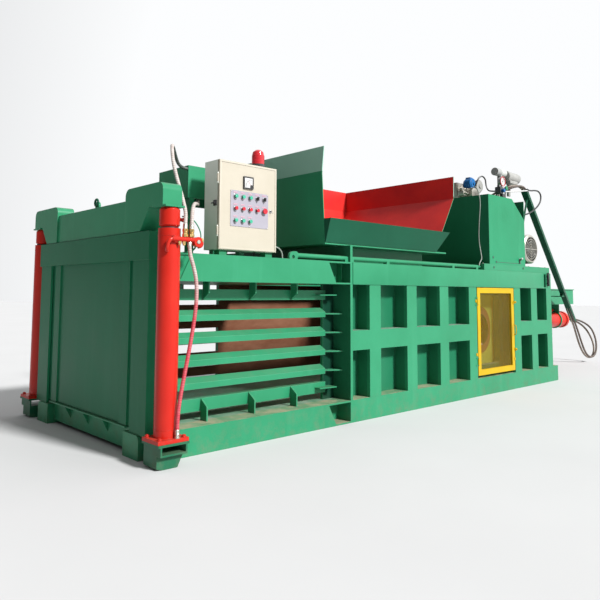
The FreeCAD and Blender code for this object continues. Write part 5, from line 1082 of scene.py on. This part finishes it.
def guard_fittings():
    """Seam, tabs, handle and knob on the unit's guard, and the limit switch on the press side."""
    face = -999
    seam = Work()
    seam.block((4576, -1001, 1497), (5192, -999.4, 1502), bevel=0.4)
    seam.block((4566, -1004, 1490), (4580, face, 1514))
    for x, z, width, height in ((4498, 1540, 14, 26), (4512, 1424, 14, 24), (5226, 1434, 16, 24)):
        seam.block((x, -1005, z), (x + width, face, z + height), bevel=1.5)
    knob_x = 5139
    seam.turned((knob_x, -1000, 1545), -Y, [(0, 14), (6, 14), (8, 9), (26, 9), (26, 0)], sides=18)
    seam.block((knob_x - 8, -1012, 1500), (knob_x + 8, -1004, 1548), bevel=3)
    seam.done("guard_seam", dark_steel)
    ball = Work()
    ball.turned((knob_x, -1024, 1560), -Y, [(0, 0), (2, 8), (8, 13), (16, 13), (22, 8), (24, 0)], sides=20)
    ball.turned((knob_x, -1000, 1560), -Y, [(0, 5), (26, 5)], sides=12)
    ball.done("guard_knob", dial_white, slot="hose_wrap")
    switch = Work()
    switch.turned((5884, -1019, 1232), Z, [(0, 10), (4, 15), (150, 15), (156, 12), (172, 12), (176, 8),
                                           (176, 0)], sides=22)
    for z in (1262, 1352):
        switch.block((5866, -1024, z), (5902, face, z + 14), bevel=2)
    switch.done("limit_switch", black)


def hose_end_fittings():
    """Fittings at both ends of the loop hose and of the two main hoses."""
    ends = Work()
    ends.hexagon((5296.5, -940, 2140), X, 20, 16)
    ends.stud((5312.5, -940, 2140), X, 14, 40, 42, 12, sides=20)
    ends.block((5592, -916, 2464), (5620, -892, 2500), bevel=4)
    ends.hexagon((5620, -904, 2486), X, 13, 22)
    ends.done("loop_fittings", dark_steel)
    ends = Work()
    for side, z in ((-1, NEAR_PORT_Z), (1, FAR_PORT_Z)):
        y = VALVE_Y + PORT_ASIDE * side
        ends.hexagon((VALVE_X, y, z), X, 21, 26)
        ends.turned((VALVE_X + 26, y, z), X, [(0, 18), (6, 19), (12, 17.4), (18, 19), (24, 17.4), (44, 18),
                                              (46, 15)])
    for y in (NEAR_MOUTH_Y, FAR_MOUTH_Y):
        ends.hexagon((MOUTH_X, y, CYLINDER_Z), X, 22, 16)
        ends.turned((MOUTH_X + 16, y, CYLINDER_Z), X, [(0, 17.5), (4, 18.6), (8, 17.2), (12, 18.6),
                                                       (16, 17.2), (24, 17.6), (26, 15)])
    ends.done("main_hose_ends", zinc)


# chamber and press section

RAIL_LOW, RAIL_HIGH = 1202, 1399


def ram_dressing():
    """Pale guide strip and bolts on the ram's near side, seen through the screen."""
    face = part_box("ram_box")[0].y * 1000
    strip = Work()
    strip.block((4934, face - 3, 365), (4962, face + 1, 560))
    strip.block((4560, face - 2.5, 520), (4640, face + 1, 545))
    strip.done("ram_strip", label_pink, "ram", "bare_steel")
    heads = Work()
    for z in (340, 620, 900, 1060):
        heads.stud((4950, face + 1, z), -Y, 9, 3, 4, 7, sides=16)
    heads.done("ram_bolts", dark_steel, "ram")


def hopper_dressing():
    """Corner gussets that close the low lip against the end walls, and the stitch of bolts under them."""
    gussets = Work()
    for outline in ([(1731, -946, 1568), (1731, -1011, 1773), (1719, -946, 1773)],
                    [(3424, -946, 1575), (3560, -1008, 1754), (3552, -946, 1772)]):
        gussets.prism(outline, (8, 0, 0))
    gussets.done("hopper_gussets", green_shaded)
    stitch = Work()
    for x in range(1800, 3400, 200):
        stitch.hexagon((x, -934, 1566.5), Z, 8, 7)
    stitch.done("hopper_bolts", green)


def hatch_dressing():
    """Hinge leaves on the press side, and the closing tabs and pull on the screen door."""
    leaves = Work()
    for z in (440, 1030):
        leaves.block((4088, -1005, z), (4116, -1000, z + 32))
        for x in (4096, 4108):
            leaves.stud((x, -1005, z + 16), -Y, 4, 1.5, 2.2, 3, sides=12)
    leaves.done("hatch_leaves", yellow)
    face = -1014
    tabs = Work()
    for z in (452, 1014):
        tabs.block((4962, face, z), (4992, -1006.5, z + 30), bevel=1.5)
        tabs.turned((4982, face, z + 15), -Y, [(0, 9), (5, 9), (7, 6), (12, 6), (13, 4), (13, 0)], sides=18)
    tabs.done("hatch_tabs", yellow, "hatch")
    pull = Work()
    pull.bent([(4935, face, 640), (4935, -1036, 652), (4935, -1042, 700), (4935, -1036, 748),
               (4935, face, 760)], 5)
    pull.done("hatch_pull", yellow, "hatch")


def rail_dressing():
    """Cover plates along the top rails of the press section, and the weld beads below them."""
    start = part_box("bulkhead")[1].x * 1000 + ORIGIN + 1
    for side, sign in SIDES:
        plate = Work()
        low, high = sorted((1000 * sign, 1006 * sign))
        plate.block((start, low, RAIL_LOW), (5782, high, RAIL_HIGH), bevel=2)
        plate.done("rail_plate_" + side, green)
        beads = Work()
        for x in (2200, 2700, 3200, 3700, 4200, 5200, 5640):
            ripple = [(x + 12 * i, 1005.5 * sign, RAIL_LOW - 1 + i % 2) for i in range(7)]
            beads.bent(ripple, 3, sides=8, steps=2)
        beads.done("rail_beads_" + side, green_shaded)


def frame_bolts():
    """Bolts of the cylinder's flange, along the roof plate and along the near edge."""
    bolts = Work()
    bolt_circle = 160
    for turn in (math.radians(22.5 + 45 * i) for i in range(8)):
        y, rise = bolt_circle * math.cos(turn), bolt_circle * math.sin(turn)
        bolts.hexagon((6075, y, CYLINDER_Z + rise), X, 17, 14)
    for x in range(1800, 3600, 220):
        bolts.hexagon((x, 526, 1566), Z, 12, 9)
    for x in (4340, 4620, 4900, 5180, 5460, 5740, 5920):
        bolts.hexagon((x, -960, 1474), Z, 10, 8)
    bolts.done("frame_bolts", zinc)


def pipe_lug():
    """The eye at the end of the guide pipe, with its pin."""
    centre = (1316, -966, 1418)
    lug = Work()
    lug.washer(centre, -Y, 45, 15, 22)
    lug.done("pipe_lug", green)
    pin = Work()
    pin.rod(centre, -Y, 15.5, 8, sides=24)
    pin.done("pipe_lug_pin", dark_steel)


def beam_dressing():
    """Fins at the ends of the grille's bars, and the plates that close the beams at the portal."""
    for side, sign in SIDES:
        fins = Work()
        for z in (300, 1102):
            corners = ((1722, 790), (1740, 880), (1930, 900), (1932, 790))
            fins.prism([(x, y * sign, z) for x, y in corners], (0, 0, 10))
        fins.done("grille_fins_" + side, green)
        closing = Work()
        corners = ((152, 1215), (233, 1215), (319, 1387), (152, 1387))
        closing.prism([(x, 990 * sign, z) for x, z in corners], (0, -6 * sign, 0))
        closing.done("beam_closing_" + side, green_door_shaded)


door_dressing()
meter()
cabinet_fittings()
cabinet_inside()
manifold_fittings()
manifold_pipes()
lift_cylinder_fittings()
door_head_fittings()
valve_pedestals()
valve_coils()
pilot_fittings()
filter_fittings()
gauge_fittings()
guard_fittings()
hose_end_fittings()
ram_dressing()
hopper_dressing()
hatch_dressing()
rail_dressing()
frame_bolts()
pipe_lug()
beam_dressing()
cord("guard_cable", GUARD_CABLE, CABLE_RADIUS, cable_grey)
cord("loop_hose", LOOP_HOSE, LOOP_RADIUS, black)
cord("cabinet_cable", CABINET_CABLE, CABLE_RADIUS, cable_grey)


# ---------------------------------------------------------------- floor and light

def lay_floor():
    """A pale floor that the machine stands on."""
    reach = 60
    mesh = bpy.data.meshes.new("floor")
    corners = [(-reach, -reach, 0), (reach, -reach, 0), (reach, reach, 0), (-reach, reach, 0)]
    mesh.from_pydata(corners, [], [(0, 1, 2, 3)])
    floor = placed("floor", mesh)
    look = Look("floor_pale", rough=0.9, spec=0.1)
    look.set("Base Color", look.mottled((0.56, 0.56, 0.56), (0.54, 0.54, 0.54), 0.7, 3.0, low=0.3))
    mesh.materials.append(look.material)


def light_world():
    """Even pale surroundings, dimmer towards the door end so that the end faces stay in shade."""
    world = bpy.data.worlds.new("studio")
    bpy.context.scene.world = world
    world.use_nodes = True
    wires = Wires(world.node_tree)
    background = wires.tree.nodes["Background"].inputs
    along_x = wires.part(wires.node("ShaderNodeTexCoord").outputs["Generated"], "X")
    wires.feed(background["Strength"], wires.band(along_x, -0.7, 0.45, 0.12, 1.0))
    wires.feed(background["Color"], (0.98, 0.99, 1.0))


def add_sun():
    """One soft sun from the near side."""
    shines_toward = Vector((-0.15, 0.8, -0.6))
    data = bpy.data.lights.new("key", "SUN")
    data.energy = 5.4
    data.angle = math.radians(8)
    lamp = placed("key", data)
    lamp.rotation_mode = "QUATERNION"
    lamp.rotation_quaternion = shines_toward.to_track_quat("-Z", "Y")


lay_floor()
light_world()
add_sun()


bpy.context.scene.view_settings.view_transform = "Standard"
